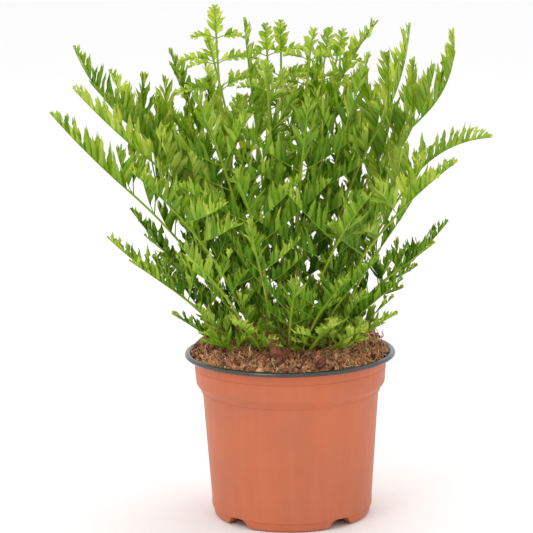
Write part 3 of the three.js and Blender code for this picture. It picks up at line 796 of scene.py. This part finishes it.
def soil():
    """The peat that fills the pot and mounds above it."""
    rings, sides = 60, 300
    rim = BAND_RADIUS - WALL - 0.8
    radii = np.linspace(0.6, rim, rings)
    turns = 2 * math.pi * np.arange(sides) / sides
    x = radii[:, None] * np.cos(turns)
    y = radii[:, None] * np.sin(turns)
    top = np.stack([x, y, crumbly(x, y)], -1).reshape(-1, 3)
    walls = []
    side = ((rim, 88.0), (BODY_TOP_RADIUS - WALL - 0.4, 73.2), (BODY_FOOT_RADIUS - WALL - 0.4, 9.4))
    for radius, height in side:
        walls.append(np.stack([radius * np.cos(turns), radius * np.sin(turns), np.full(sides, height)], -1))
    middles = [[0, 0, soil_height(0.0, 0.0) - 0.5], [0, 0, SOIL_BOTTOM]]
    points = np.concatenate([top, *walls, middles])
    faces = []
    levels = rings + len(walls)
    for i in range(sides):
        j = (i + 1) % sides
        faces.append((len(points) - 2, i, j))
        for k in range(levels - 1):
            faces.append((k * sides + i, (k + 1) * sides + i, (k + 1) * sides + j, k * sides + j))
        faces.append((len(points) - 1, (levels - 1) * sides + j, (levels - 1) * sides + i))
    build = Build()
    build.add(points, mixed=faces)
    return put(build.make("peat_soil", [PEAT]), "soil")


def spots(rng, count, least, most):
    """Places on the soil, evenly over its area, no nearer and no farther from the axis than these."""
    out = np.sqrt(rng.uniform(least ** 2, most ** 2, count))
    turn = rng.uniform(0, 2 * math.pi, count)
    return out * np.cos(turn), out * np.sin(turn)


def ball():
    """Points and faces of a ball with 20 sides."""
    g = (1 + math.sqrt(5)) / 2
    points = unit(np.array([
        (-1, g, 0), (1, g, 0), (-1, -g, 0), (1, -g, 0), (0, -1, g), (0, 1, g), (0, -1, -g), (0, 1, -g),
        (g, 0, -1), (g, 0, 1), (-g, 0, -1), (-g, 0, 1),
    ], float))
    faces = []
    for a in range(12):
        for b in range(a + 1, 12):
            for c in range(b + 1, 12):
                near = [np.linalg.norm(points[p] - points[q]) < 1.06 for p, q in ((a, b), (b, c), (a, c))]
                if all(near):
                    out = np.dot(np.cross(points[b] - points[a], points[c] - points[a]), points[a]) > 0
                    faces.append((a, b, c) if out else (a, c, b))
    return points, np.array(faces)


def crumbs():
    """Crumbs of peat that lie on the soil, with grains of perlite among them."""
    rng = np.random.default_rng(11)
    points, faces = ball()
    build = Build()
    x, y = spots(rng, CRUMB_COUNT, least=12.0, most=55.4)
    z = crumbly(x, y)
    for i in range(CRUMB_COUNT):
        size = rng.uniform(*FINE_CRUMB) if rng.random() < FINE_SHARE else rng.uniform(*COARSE_CRUMB)
        is_white = i < PERLITE_COUNT
        if is_white:
            size = rng.uniform(*PERLITE_GRAIN)
        lumpy = points * rng.uniform(0.5, 1.3, (12, 1)) * rng.uniform(0.4, 1.0, 3) * size
        turn = np.array(Euler(rng.uniform(0, 6.28, 3)).to_matrix())
        build.add(
            lumpy @ turn.T + (x[i], y[i], z[i] + 0.35 * size), faces, skin=1 if is_white else 0,
            tone=np.clip(rng.normal(0.36, 0.22), 0, 1),
        )
    return put(build.make("soil_crumbs", [COIR, PERLITE]), None)


def fibre_path(rng, x, y):
    """A curly path over the soil from a place on it."""
    count = len(FIBRE_TAPER)
    step = rng.uniform(*FIBRE_LENGTH) / (count - 1)
    heading = rng.uniform(0, 2 * math.pi)
    steepness = rng.normal(0.1, 0.35)
    turn_rate = rng.normal(0, 1.1)
    rise = rng.uniform(-0.1, 1.6)
    path = np.zeros((count, 3))
    at = np.array([x, y, 0.0])
    for k in range(count):
        path[k] = at
        level = math.cos(steepness)
        ahead = np.array([math.cos(heading) * level, math.sin(heading) * level, math.sin(steepness)])
        at = at + step * ahead
        heading += turn_rate + rng.normal(0, 0.25)
        steepness += rng.normal(-0.12, 0.3)
    reach = np.hypot(path[:, 0], path[:, 1])
    path[:, :2] *= np.minimum(1, FIBRE_REACH / reach)[:, None]
    path[:, 2] = crumbly(path[:, 0], path[:, 1]) + rise + np.maximum(path[:, 2], -0.5) * 0.8
    return path


def fibres():
    """Curly fibres of coir, tangled over the soil."""
    rng = np.random.default_rng(23)
    build = Build()
    x, y = spots(rng, FIBRE_COUNT, least=10.0, most=55.6)
    walls, ends = tube_faces(len(FIBRE_TAPER), FIBRE_SIDES)
    for i in range(FIBRE_COUNT):
        path = fibre_path(rng, x[i], y[i])
        along = unit(np.gradient(path, axis=0))
        side = unit(np.cross(along, UP + 0.01))
        upper = np.cross(side, along)
        width = rng.uniform(*FIBRE_WIDTH) * FIBRE_TAPER
        tone = np.clip(rng.normal(0.6, 0.26), 0, 1)
        build.add(tube(path, width, side, upper, FIBRE_SIDES), walls, ends, tone=tone)
    return put(build.make("coir_fibres", [COIR]), None)


# The bark


def bark_piece(name, node, size, centre, turns, seed):
    """A split strip of bark: long ridges, ragged ends and a bend along it."""
    width, thickness, length = size
    rings, sides, squareness = 40, 44, 3.2
    offset = Vector(np.random.default_rng(seed).uniform(0, 50, 3))
    points = np.zeros((rings, sides, 3))
    u, v = np.zeros((rings, sides)), np.zeros((rings, sides))
    for r, share in enumerate(np.linspace(-0.5, 0.5, rings)):
        end = 1 - 0.35 * abs(2 * share) ** 8
        bulge = 0.35 * thickness * (share * 2) ** 2 * 0.5
        for s, a in enumerate(2 * math.pi * np.arange(sides) / sides):
            cx, cy = math.cos(a), math.sin(a)
            to_edge = (abs(cx) ** squareness + abs(cy) ** squareness) ** (-1 / squareness)
            px = cx * to_edge * width / 2 * (0.86 + 0.1 * math.sin(5 * share + seed))
            py = cy * to_edge * thickness / 2
            ridge = noise.noise(Vector((px * 0.9, share * length * 0.09, cy * 2)) + offset)
            flake = noise.noise(Vector((px * 0.35, share * length * 0.3, cy)) + offset)
            grow = (1 + 0.24 * ridge * (1 if cy > 0 else 0.6) + 0.16 * flake) * end
            tear = noise.noise(Vector((px * 1.3, cy * 2, 9 + share)) + offset)
            ragged = 0.06 * tear * (abs(2 * share) ** 3)
            points[r, s] = (px * (0.5 + 0.5 * grow), py * grow + bulge, (share + ragged) * length)
            u[r, s], v[r, s] = px + 3 * cy, share * length
    turned_by = Matrix.Identity(3)
    for angle, axis in zip(turns, "XYZ"):
        turned_by = turned_by @ Matrix.Rotation(angle, 3, axis)
    walls, ends = tube_faces(rings, sides)
    build = Build()
    placed_points = points.reshape(-1, 3) @ np.array(turned_by).T + np.array(centre)
    build.add(placed_points, walls, ends, u=u.ravel(), v=v.ravel())
    return put(build.make(name, [BARK]), node)


# The fronds


def bow(start, first, last, length):
    """The three control points of a curve that leaves along one direction and ends along another."""
    middle = start + first * length / 2
    return np.array([start, middle, middle + last * length / 2])


def on(rib, t):
    """Points at shares t of a rib."""
    t = np.asarray(t, float)[..., None]
    return (1 - t) ** 2 * rib[0] + 2 * t * (1 - t) * rib[1] + t * t * rib[2]


def frames(rib, face, t):
    """Points, forward, sideways and upper directions at shares t of a rib."""
    t = np.asarray(t, float)[..., None]
    along = unit((1 - t) * (rib[1] - rib[0]) + t * (rib[2] - rib[1]))
    upper = unit(face - along * (along @ face)[..., None])
    return on(rib, t[..., 0]), along, np.cross(along, upper), upper


def length_of(rib):
    """Length of a rib, measured over short steps."""
    points = on(rib, np.linspace(0, 1, 201))
    return np.linalg.norm(np.diff(points, axis=0), axis=1).sum()


def leaning(out, lean):
    """A direction that leans outward from upright by some degrees, and the one above it."""
    a = math.radians(lean)
    return UP * math.cos(a) + out * math.sin(a), UP * math.sin(a) - out * math.cos(a)


def frond_plan(index, row):
    """The stalk of a frond and how it leans, from its row of the list."""
    name, azimuth, lean, length, bowing, curl, roll = row
    kind = KINDS[name]
    turn = math.radians(azimuth)
    out = np.array([math.cos(turn), math.sin(turn), 0.0])
    x = CROWN[0] + CROWN_REACH[0] * kind["ring"] * out[0]
    y = CROWN[1] + CROWN_REACH[1] * kind["ring"] * out[1]
    start = np.array([x, y, soil_height(x, y) - ROOT_DEPTH])
    first, _ = leaning(out, lean - bowing)
    along, upper = leaning(out, lean + bowing)
    return dict(
        index=index, kind=kind, out=out, curl=curl, lean=lean + bowing,
        stalk=bow(start, first, along, length - kind["leaf"]), face=turned(upper, along, roll),
    )


def leaf_plan(frond, place, way):
    """A leaf of a frond: place 0 is the one at the end of the stalk, then the pairs down it."""
    kind, stalk = frond["kind"], frond["stalk"]
    swing, lift, share = way
    if place == 0:
        point, along, side, upper = frames(stalk, frond["face"], 1.0)
        first = turned(turned(along, upper, swing * END_TURN), side, lift * END_TURN)
        bent, _ = leaning(frond["out"], frond["lean"] + frond["curl"])
        tipward = unit(first * (1 - END_CURL) + bent * END_CURL)
        length = kind["leaf"] * share
        rib = bow(point, first, tipward, length)
        face = unit(upper + UP * FACE_RISE)
        return dict(rib=rib, face=face, length=length, bare=0.0, lobe=kind["lobe"], at_end=True)
    rank = (place + 1) // 2 - 1
    sign = 1 if place % 2 else -1
    below, full = (*kind["pairs"], *kind["small"])[rank]
    t = 1 - (below + NODE_LENGTH / 2) / length_of(stalk)
    point, along, side, upper = frames(stalk, frond["face"], t)
    index = frond["index"]
    length = full * share * (1 + LENGTH_VARIATION * (2 * draw(index, place, 6) - 1))
    spread = math.radians(kind["spread"] + swing + SPREAD_VARIATION * (2 * draw(index, place, 7) - 1))
    rise = math.radians(kind["lift"] + lift + RISE_VARIATION * (2 * draw(index, place, 8) - 1))
    across = side * sign * math.cos(rise) + upper * math.sin(rise)
    first = along * math.cos(spread) + across * math.sin(spread)
    last = turned(first, unit(np.cross(first, UP)), kind["bend"])
    rib = bow(point, first, last, length)
    return dict(
        rib=rib, face=unit(upper - side * sign * FACE_TILT + UP * FACE_RISE), length=length,
        bare=min(BARE_LENGTH, length * BARE_SHARE), lobe=kind["lobe"] * (0.55 + 0.011 * length), at_end=False,
    )


def leaves_of(frond, node):
    """The leaves of a frond, each the way the frame has it: its tip is a corner of the frame's frond."""
    corners = np.array([v.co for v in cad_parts[node].data.vertices]) / MM - SHIFT
    leaves = []
    for place in range(1 + 2 * len(frond["kind"]["pairs"] + frond["kind"]["small"])):
        ways = [leaf_plan(frond, place, way) for way in WAYS]
        kept = [leaf for leaf in ways if np.linalg.norm(corners - leaf["rib"][2], axis=1).min() < SAME_POINT]
        leaves.append((kept or ways)[0])
    return leaves


# Rows along a lobe and columns across it
ROWS = np.array([0.0, 0.2, 0.42, 0.64, 0.84, 1.0])
COLUMNS = np.linspace(0, 1, 5)

# Lobes with two or three teeth: the share of their length over which neighbours are grown together, their
# width at the rows, and how far the columns reach at the tip, for each of several lobes
SHAPES = {
    "comb": dict(
        web=0.36, width=np.array([1.2, 0.94, 0.94, 1.0, 0.96, 0.7]),
        tips=((0.74, 1.0, 0.8, 0.94, 0.62), (0.68, 0.92, 0.78, 1.0, 0.7), (0.6, 0.84, 1.0, 0.8, 0.64),
              (0.76, 0.94, 0.76, 1.0, 0.72), (0.78, 1.0, 0.76, 0.86, 0.6), (0.56, 0.9, 1.0, 0.76, 0.6)),
    ),
    "frill": dict(
        web=0.42, width=np.array([1.1, 0.96, 0.9, 0.98, 0.86, 0.6]),
        tips=((0.54, 1.0, 0.62, 0.86, 0.46), (0.6, 0.86, 0.62, 1.0, 0.54), (0.5, 0.78, 1.0, 0.68, 0.46),
              (0.7, 0.9, 0.66, 1.0, 0.62), (0.62, 1.0, 0.66, 0.78, 0.44), (0.48, 0.9, 1.0, 0.62, 0.5)),
    ),
    "round": dict(
        web=0.6, width=np.array([1.15, 1.0, 0.98, 1.02, 0.9, 0.55]),
        tips=((0.6, 0.9, 1.0, 0.86, 0.52), (0.62, 1.0, 0.84, 0.96, 0.56), (0.5, 0.8, 1.0, 0.92, 0.62)),
    ),
    "crisp": dict(
        web=0.6, width=np.array([1.0, 0.9, 1.0, 1.15, 1.05, 0.7]),
        tips=((0.66, 1.0, 0.6, 0.9, 0.54), (0.52, 0.8, 1.0, 0.7, 0.5), (0.62, 0.9, 0.6, 1.0, 0.64)),
    ),
}


def grid_faces(rows, columns):
    """Faces of a thin closed blade: an upper grid of corners, and a lower one that shares its border."""
    upper = np.arange(rows * columns).reshape(rows, columns)
    lower = upper.copy()
    lower[1:-1, 1:-1] = rows * columns + np.arange((rows - 2) * (columns - 2)).reshape(rows - 2, columns - 2)
    faces = []
    for grid, flip in ((upper, False), (lower, True)):
        for r in range(rows - 1):
            for c in range(columns - 1):
                face = [grid[r, c], grid[r, c + 1], grid[r + 1, c + 1], grid[r + 1, c]]
                faces.append(face[::-1] if flip else face)
    return np.array(faces)


BLADE_FACES = grid_faces(len(ROWS), len(COLUMNS))

# The corners inside a blade's border, and how far each corner belongs to the underside
INSIDE = np.zeros((len(ROWS), len(COLUMNS)), bool)
INSIDE[1:-1, 1:-1] = True
UNDERSIDE = np.concatenate([np.where(INSIDE, 0.0, 0.5).ravel(), np.ones(INSIDE.sum())])

# Half of a blade's thickness at its rib, how much of it is lost at the tip, and the vein below it
BLADE_HALF = 0.15
BLADE_THINNING = 0.06
VEIN_DEPTH = 0.12

# The lobes of one side begin this share of a lobe later than those of the other, and all end before the tip
STAGGER = 0.35
LAST_LOBE = 0.985

# Leaf tissue is painted darker deep in the plant than at its outside, as painted shade; the outside lies
# about this far from the crown's foot
SHELL_REACH = 112.0
SHELL_HEIGHT = 185.0
PAINTED_SHELL_SHADE = 0.40
# Painted shade makes it darker between two lobes, and it is lighter at the tip of a lobe and of a leaf
PAINTED_SEAM_SHADE = 0.3
LOBE_TIP_TONE = 0.3
LEAF_TIP_TONE = 0.24


def lobe_share(t):
    """How long the lobes are along a leaf: short at its foot, longest past it, shrinking to the tip."""
    return np.minimum(1, 0.62 + 1.9 * t) * (1 - 0.72 * t ** 1.6) * np.minimum(1, (1.03 - t) / 0.16)


def lobe_stations(leaf, kind, sign):
    """Where the lobes on one side of a leaf begin and end, in shares of its rib."""
    bare = leaf["bare"] / leaf["length"]
    count = max(3, round(leaf["length"] * (1 - bare) / kind["step"]))
    share = (np.arange(count + 1) + (0.0 if sign > 0 else STAGGER)) / (count + STAGGER)
    share = share[share <= 1.0]
    stations = bare + (LAST_LOBE - bare) * share * (1.3 - 0.3 * share)
    return stations[:-1], stations[1:]


def lobe_stance(leaf, kind, middle, rng):
    """Length of each lobe, and the uneven angles at which it stands, bends, folds and twists."""
    n, wild = len(middle), kind["wild"]
    variation = 1 + 0.13 * wild * rng.uniform(-1.2, 0.9, n)
    return dict(
        long=leaf["lobe"] * kind["reach"] * lobe_share(middle) * variation,
        rake=kind["rake"] - 18 * middle ** 3 + rng.normal(0, 5, n) * wild,
        fold=kind["fold"] + rng.normal(0, 9, n) * wild,
        bend=rng.normal(-6, 8, n) * wild,
        relax=rng.normal(-4, 12, n) * wild,
        twist=np.radians(rng.normal(0, 20, n) * wild),
    )


def lobe_directions(leaf, kind, middle, stance, sign):
    """At each row of each lobe: away from the rib, across the lobe, and out of its upper face."""
    _, along, side, upper = frames(leaf["rib"], leaf["face"], middle)
    rake = np.radians(stance["rake"][:, None] + stance["bend"][:, None] * ROWS)[..., None]
    fold = np.radians(stance["fold"][:, None] + stance["relax"][:, None] * ROWS)[..., None]
    outward = sign * side[:, None] * np.cos(fold) + upper[:, None] * np.sin(fold)
    ahead = along[:, None]
    away = unit(ahead * np.cos(rake) + outward * np.sin(rake) + UP * kind["rise"])
    across = ahead * np.sin(rake) - outward * np.cos(rake)
    across = unit(across - away * np.sum(across * away, -1, keepdims=True))
    face = sign * np.cross(away, across)
    twist = stance["twist"][:, None, None] * ROWS[None, :, None]
    across_twisted = across * np.cos(twist) + face * np.sin(twist)
    face_twisted = face * np.cos(twist) - across * np.sin(twist)
    return away, across_twisted, face_twisted


def lobe_edges(shape, wild, n, rng):
    """Uneven teeth: how far each corner reaches along the lobe, and how far it lies to the side."""
    tips = np.array(shape["tips"])[rng.integers(0, len(shape["tips"]), n)]
    tips = np.clip(tips + rng.normal(0, 0.03, tips.shape), 0.4, 1.04)
    stretch = 1 - (1 - tips)[:, None, :] * (ROWS ** 2.4)[None, :, None]
    beside = (COLUMNS - 0.5)[None, None, :] * np.ones((n, len(ROWS), 1))
    teeth = 1 + rng.normal(0, 0.15 * wild, (n, len(ROWS), 2)) * (ROWS > 0.2)[None, :, None]
    beside[:, :, 0] *= teeth[:, :, 0]
    beside[:, :, -1] *= teeth[:, :, 1]
    return stretch[..., None], beside[..., None]


def lobe_relief(n, rng):
    """How far each corner stands out of a flat lobe: cupped at the sides, with small ripples."""
    cup = rng.normal(0.6, 0.3, n)[:, None, None] * (2 * COLUMNS - 1) ** 2 * ROWS[None, :, None]
    ripple = rng.normal(0, 0.2, (n, len(ROWS), len(COLUMNS))) * (ROWS ** 0.5)[None, :, None]
    return (cup + ripple)[..., None]


def lobe_corners(leaf, kind, begin, end, stance, directions, rng):
    """The corners of each lobe, by row and column, midway between its two faces."""
    shape, n = SHAPES[kind["shape"]], len(begin)
    away, across, face = directions
    steps = np.diff(ROWS)[None, :, None] * (away[:, 1:] + away[:, :-1]) / 2 * stance["long"][:, None, None]
    spine = np.concatenate([np.zeros((n, 1, 3)), np.cumsum(steps, 1)], 1)
    foot = on(leaf["rib"], begin[:, None] + (end - begin)[:, None] * (0.02 + 0.96 * COLUMNS))
    run = foot[:, -1] - foot[:, 0]
    wide = np.linalg.norm(run, axis=1) * np.sin(np.radians(stance["rake"])) * kind["breadth"]
    merge = smooth(ROWS / shape["web"])[None, :, None]
    spans = (1 - merge) * run[:, None] + merge * across * (wide[:, None] * shape["width"])[..., None]
    stretch, beside = lobe_edges(shape, kind["wild"], n, rng)
    middle = foot[:, None, len(COLUMNS) // 2][:, :, None]
    return (
        middle + spine[:, :, None] * stretch + spans[:, :, None] * beside
        + face[:, :, None] * lobe_relief(n, rng)
    )


def blade_points(corners, face):
    """Points of the upper skin of each blade, then of the lower one with the vein along its middle."""
    n = len(corners)
    half = (BLADE_HALF - BLADE_THINNING * ROWS)[None, :, None, None] * np.ones((1, 1, len(COLUMNS), 1))
    on_vein = np.where(np.abs(COLUMNS - 0.5) < 0.1, VEIN_DEPTH, 0.0)
    vein = on_vein[None, None, :, None] * (1 - ROWS)[None, :, None, None]
    over = corners + face[:, :, None] * half * INSIDE[None, :, :, None]
    below = (corners - face[:, :, None] * (half + vein))[:, 1:-1, 1:-1]
    return np.concatenate([over.reshape(n, -1, 3), below.reshape(n, -1, 3)], 1)


def lobe_tones(corners, middle, leaf_tone, rng):
    """How light the leaf tissue is at each corner, with painted shade deep in the plant and between two
    lobes.
    """
    beside_crown = (corners[..., :2] - CROWN) / SHELL_REACH
    above_soil = (corners[..., 2] - SOIL_EDGE) / SHELL_HEIGHT
    depth = np.sqrt(np.sum(beside_crown ** 2, -1) + above_soil ** 2)
    # Painted shade: darker towards the middle and foot of the plant, lighter at its outside and high up
    painted_light_share = smooth((depth - 0.3) / 0.65)
    lobe_tone = (leaf_tone + rng.normal(0, 0.15, len(middle)) + LEAF_TIP_TONE * middle ** 2)[:, None, None]
    tone = lobe_tone + (LOBE_TIP_TONE * ROWS - 0.16)[None, :, None] + PAINTED_SHELL_SHADE * (painted_light_share - 0.38)
    # Painted shade: darker along both sides of each lobe, most near its foot, where neighbours meet
    painted_seam_shade = ((2 * COLUMNS - 1) ** 4)[None, :] * (1 - 0.7 * ROWS)[:, None]
    return tone - PAINTED_SEAM_SHADE * painted_seam_shade[None]


def on_both_skins(values):
    """The values of the upper skin's corners, then those of the lower one."""
    n = len(values)
    return np.concatenate([values.reshape(n, -1), values[:, 1:-1, 1:-1].reshape(n, -1)], 1).ravel()


def add_lobes(build, leaf, kind, rng, leaf_tone):
    """All the lobes of one leaf, on both sides of its rib."""
    for sign in (1, -1):
        begin, end = lobe_stations(leaf, kind, sign)
        middle, n = (begin + end) / 2, len(begin)
        stance = lobe_stance(leaf, kind, middle, rng)
        directions = lobe_directions(leaf, kind, middle, stance, sign)
        corners = lobe_corners(leaf, kind, begin, end, stance, directions, rng)
        points = blade_points(corners, directions[2])
        faces = BLADE_FACES if sign < 0 else BLADE_FACES[:, ::-1]
        all_faces = (faces[None] + (np.arange(n) * points.shape[1])[:, None, None]).reshape(-1, 4)
        across = np.broadcast_to(COLUMNS, (n, len(ROWS), len(COLUMNS)))
        along = ROWS[None, :, None] * stance["long"][:, None, None] * np.ones((1, 1, len(COLUMNS)))
        tone = lobe_tones(corners, middle, leaf_tone, rng)
        build.add(
            points, all_faces, tone=on_both_skins(tone), under=np.tile(UNDERSIDE, n), u=on_both_skins(across),
            v=on_both_skins(along),
        )


def add_rib(build, rib, face, radii, tone, sides=6, steps=14, flatten=1.0):
    """A rounded rib or stalk along a curve."""
    t = np.linspace(0, 1, steps)
    points, _, side, upper = frames(rib, face, t)
    block = tube(points, np.interp(t, [0, 1], radii), side, upper, sides, flatten)
    tones = np.repeat(np.interp(t, np.linspace(0, 1, len(tone)), tone), sides)
    walls, ends = tube_faces(steps, sides)
    build.add(block, walls, ends, skin=1, tone=tones, v=np.repeat(t, sides))


# Tones from straw to green along a stalk and a midrib, and half the thickness of a midrib at foot and tip
STALK_TONES = (0.12, 0.3, 0.5, 0.85)
RIB_TONES = (0.9, 1.0, 1.0)
RIB_FOOT = 0.42
RIB_TIP = 0.1


def frond_piece(frond, node):
    """One frond: its stalk, and on each leaf a midrib with lobes cut almost down to it."""
    kind = frond["kind"]
    rng = np.random.default_rng(100 + frond["index"])
    build = Build()
    thick, thin = kind["stalk"]
    frond_tone = kind["tone"] + rng.normal(0, 0.07)
    add_rib(
        build, frond["stalk"], frond["face"], (thick / 2, thin / 2), STALK_TONES, sides=8, steps=26,
    )
    for leaf in leaves_of(frond, node):
        leaf_tone = frond_tone + rng.normal(0, 0.06)
        foot = thin / 2 if leaf["at_end"] else RIB_FOOT
        add_rib(build, leaf["rib"], leaf["face"], (foot, RIB_TIP), RIB_TONES, flatten=0.7)
        add_lobes(build, leaf, kind, rng, leaf_tone)
    piece = build.make(node.replace("frond", "fern_frond"), [BLADE, STALK])
    piece.data.set_sharp_from_angle(angle=math.radians(BLADE_EDGE))
    return put(piece, node)


def fronds():
    """All the fronds, numbered within their kind as the frame's nodes are."""
    numbers = dict.fromkeys(KINDS, 0)
    for index, row in enumerate(FRONDS):
        kind = row[0]
        numbers[kind] += 1
        frond_piece(frond_plan(index, row), f"{kind}_frond_{numbers[kind]:02d}")


# The studio


def floor():
    """A wide pale floor, not part of the plant."""
    made, g, shader = material("pale floor")
    colour, _ = uneven(
        g, colour=(0.97, 0.97, 0.97, 1), patch_colour=(0.96, 0.96, 0.96, 1), patch_scale=3.0, patches=0.5,
        grain_scale=300.0, grain=0.01,
    )
    g.feed(shader.inputs["Base Color"], colour)
    shader.inputs["Roughness"].default_value = 0.9
    shader.inputs["Specular IOR Level"].default_value = 0.1
    far = 12.0
    mesh = bpy.data.meshes.new("floor")
    mesh.from_pydata([(-far, -far, 0), (far, -far, 0), (far, far, 0), (-far, far, 0)], [], [(0, 1, 2, 3)])
    mesh.materials.append(made)
    piece = bpy.data.objects.new("floor", mesh)
    bpy.context.scene.collection.objects.link(piece)


def lamp(name, place, size, power):
    """A round soft lamp that faces the middle of the plant."""
    light = bpy.data.lights.new(name, "AREA")
    light.shape = "DISK"
    light.size = size
    light.energy = power
    piece = bpy.data.objects.new(name, light)
    piece.location = place
    towards = Vector((0, 0, 0.15)) - Vector(place)
    piece.rotation_euler = towards.to_track_quat("-Z", "Y").to_euler()
    bpy.context.scene.collection.objects.link(piece)


def studio_light():
    """Even white light from all round, with a soft lamp at the front and one above."""
    world = bpy.data.worlds.new("studio")
    bpy.context.scene.world = world
    world.use_nodes = True
    sky = world.node_tree.nodes["Background"]
    sky.inputs["Color"].default_value = (1.0, 1.0, 1.0, 1.0)
    sky.inputs["Strength"].default_value = 1.0
    lamp("key", place=(-0.9, -1.3, 1.5), size=0.9, power=6.0)
    lamp("top", place=(0.2, 0.3, 1.7), size=1.0, power=5.0)


# The camera looks at the pot's axis from the front. A pixel of the picture is so many millimetres wide there,
# and the axis at the height it looks at is this far from the picture's left and top edges.
ELEVATION = 11.0
DISTANCE = 1300.0
PIXEL = 0.5655
LOOK_HEIGHT = 130.0
PICTURE = 533
AXIS_PIXEL = (289.0, 289.1)
ROLL = 0.84


def camera():
    """The camera, where the photo was taken from."""
    view = bpy.data.cameras.new("camera")
    view.sensor_width = 36.0
    view.lens = DISTANCE / PIXEL * view.sensor_width / PICTURE
    piece = bpy.data.objects.new("camera", view)
    a = math.radians(ELEVATION)
    back = Vector((0, -math.cos(a), math.sin(a)))
    axis = Vector((0, 0, LOOK_HEIGHT))
    right, up = Vector((1, 0, 0)), Vector((0, math.sin(a), math.cos(a)))
    eye = axis + back * DISTANCE
    aim = axis + (right * (PICTURE / 2 - AXIS_PIXEL[0]) - up * (PICTURE / 2 - AXIS_PIXEL[1])) * PIXEL
    ahead = (aim - eye).normalized()
    beside = ahead.cross(Vector((0, 0, 1))).normalized()
    above = beside.cross(ahead)
    r = math.radians(ROLL)
    x = beside * math.cos(r) - above * math.sin(r)
    y = above * math.cos(r) + beside * math.sin(r)
    turn = Matrix((x, y, -ahead)).transposed().to_4x4()
    piece.matrix_world = Matrix.Translation((eye + Vector(SHIFT)) * MM) @ turn
    view.clip_start, view.clip_end = 0.1, 40.0
    bpy.context.scene.collection.objects.link(piece)
    bpy.context.scene.camera = piece


pot()
soil()
crumbs()
fibres()
bark_piece(
    "bark_strip_fine", "bark_strip", size=(8.5, 5, 25), centre=(-7, -40, 101),
    turns=(-0.55, -0.27, 0.3), seed=3,
)
bark_piece(
    "bark_chip_fine", "bark_chip", size=(8, 3.5, 13), centre=(16.5, -45, soil_height(16.5, -45.0) + 0.8),
    turns=(1.5, 0.2, 1.1), seed=8,
)
fronds()
floor()
studio_light()
camera()

bpy.context.scene.view_settings.view_transform = "Standard"
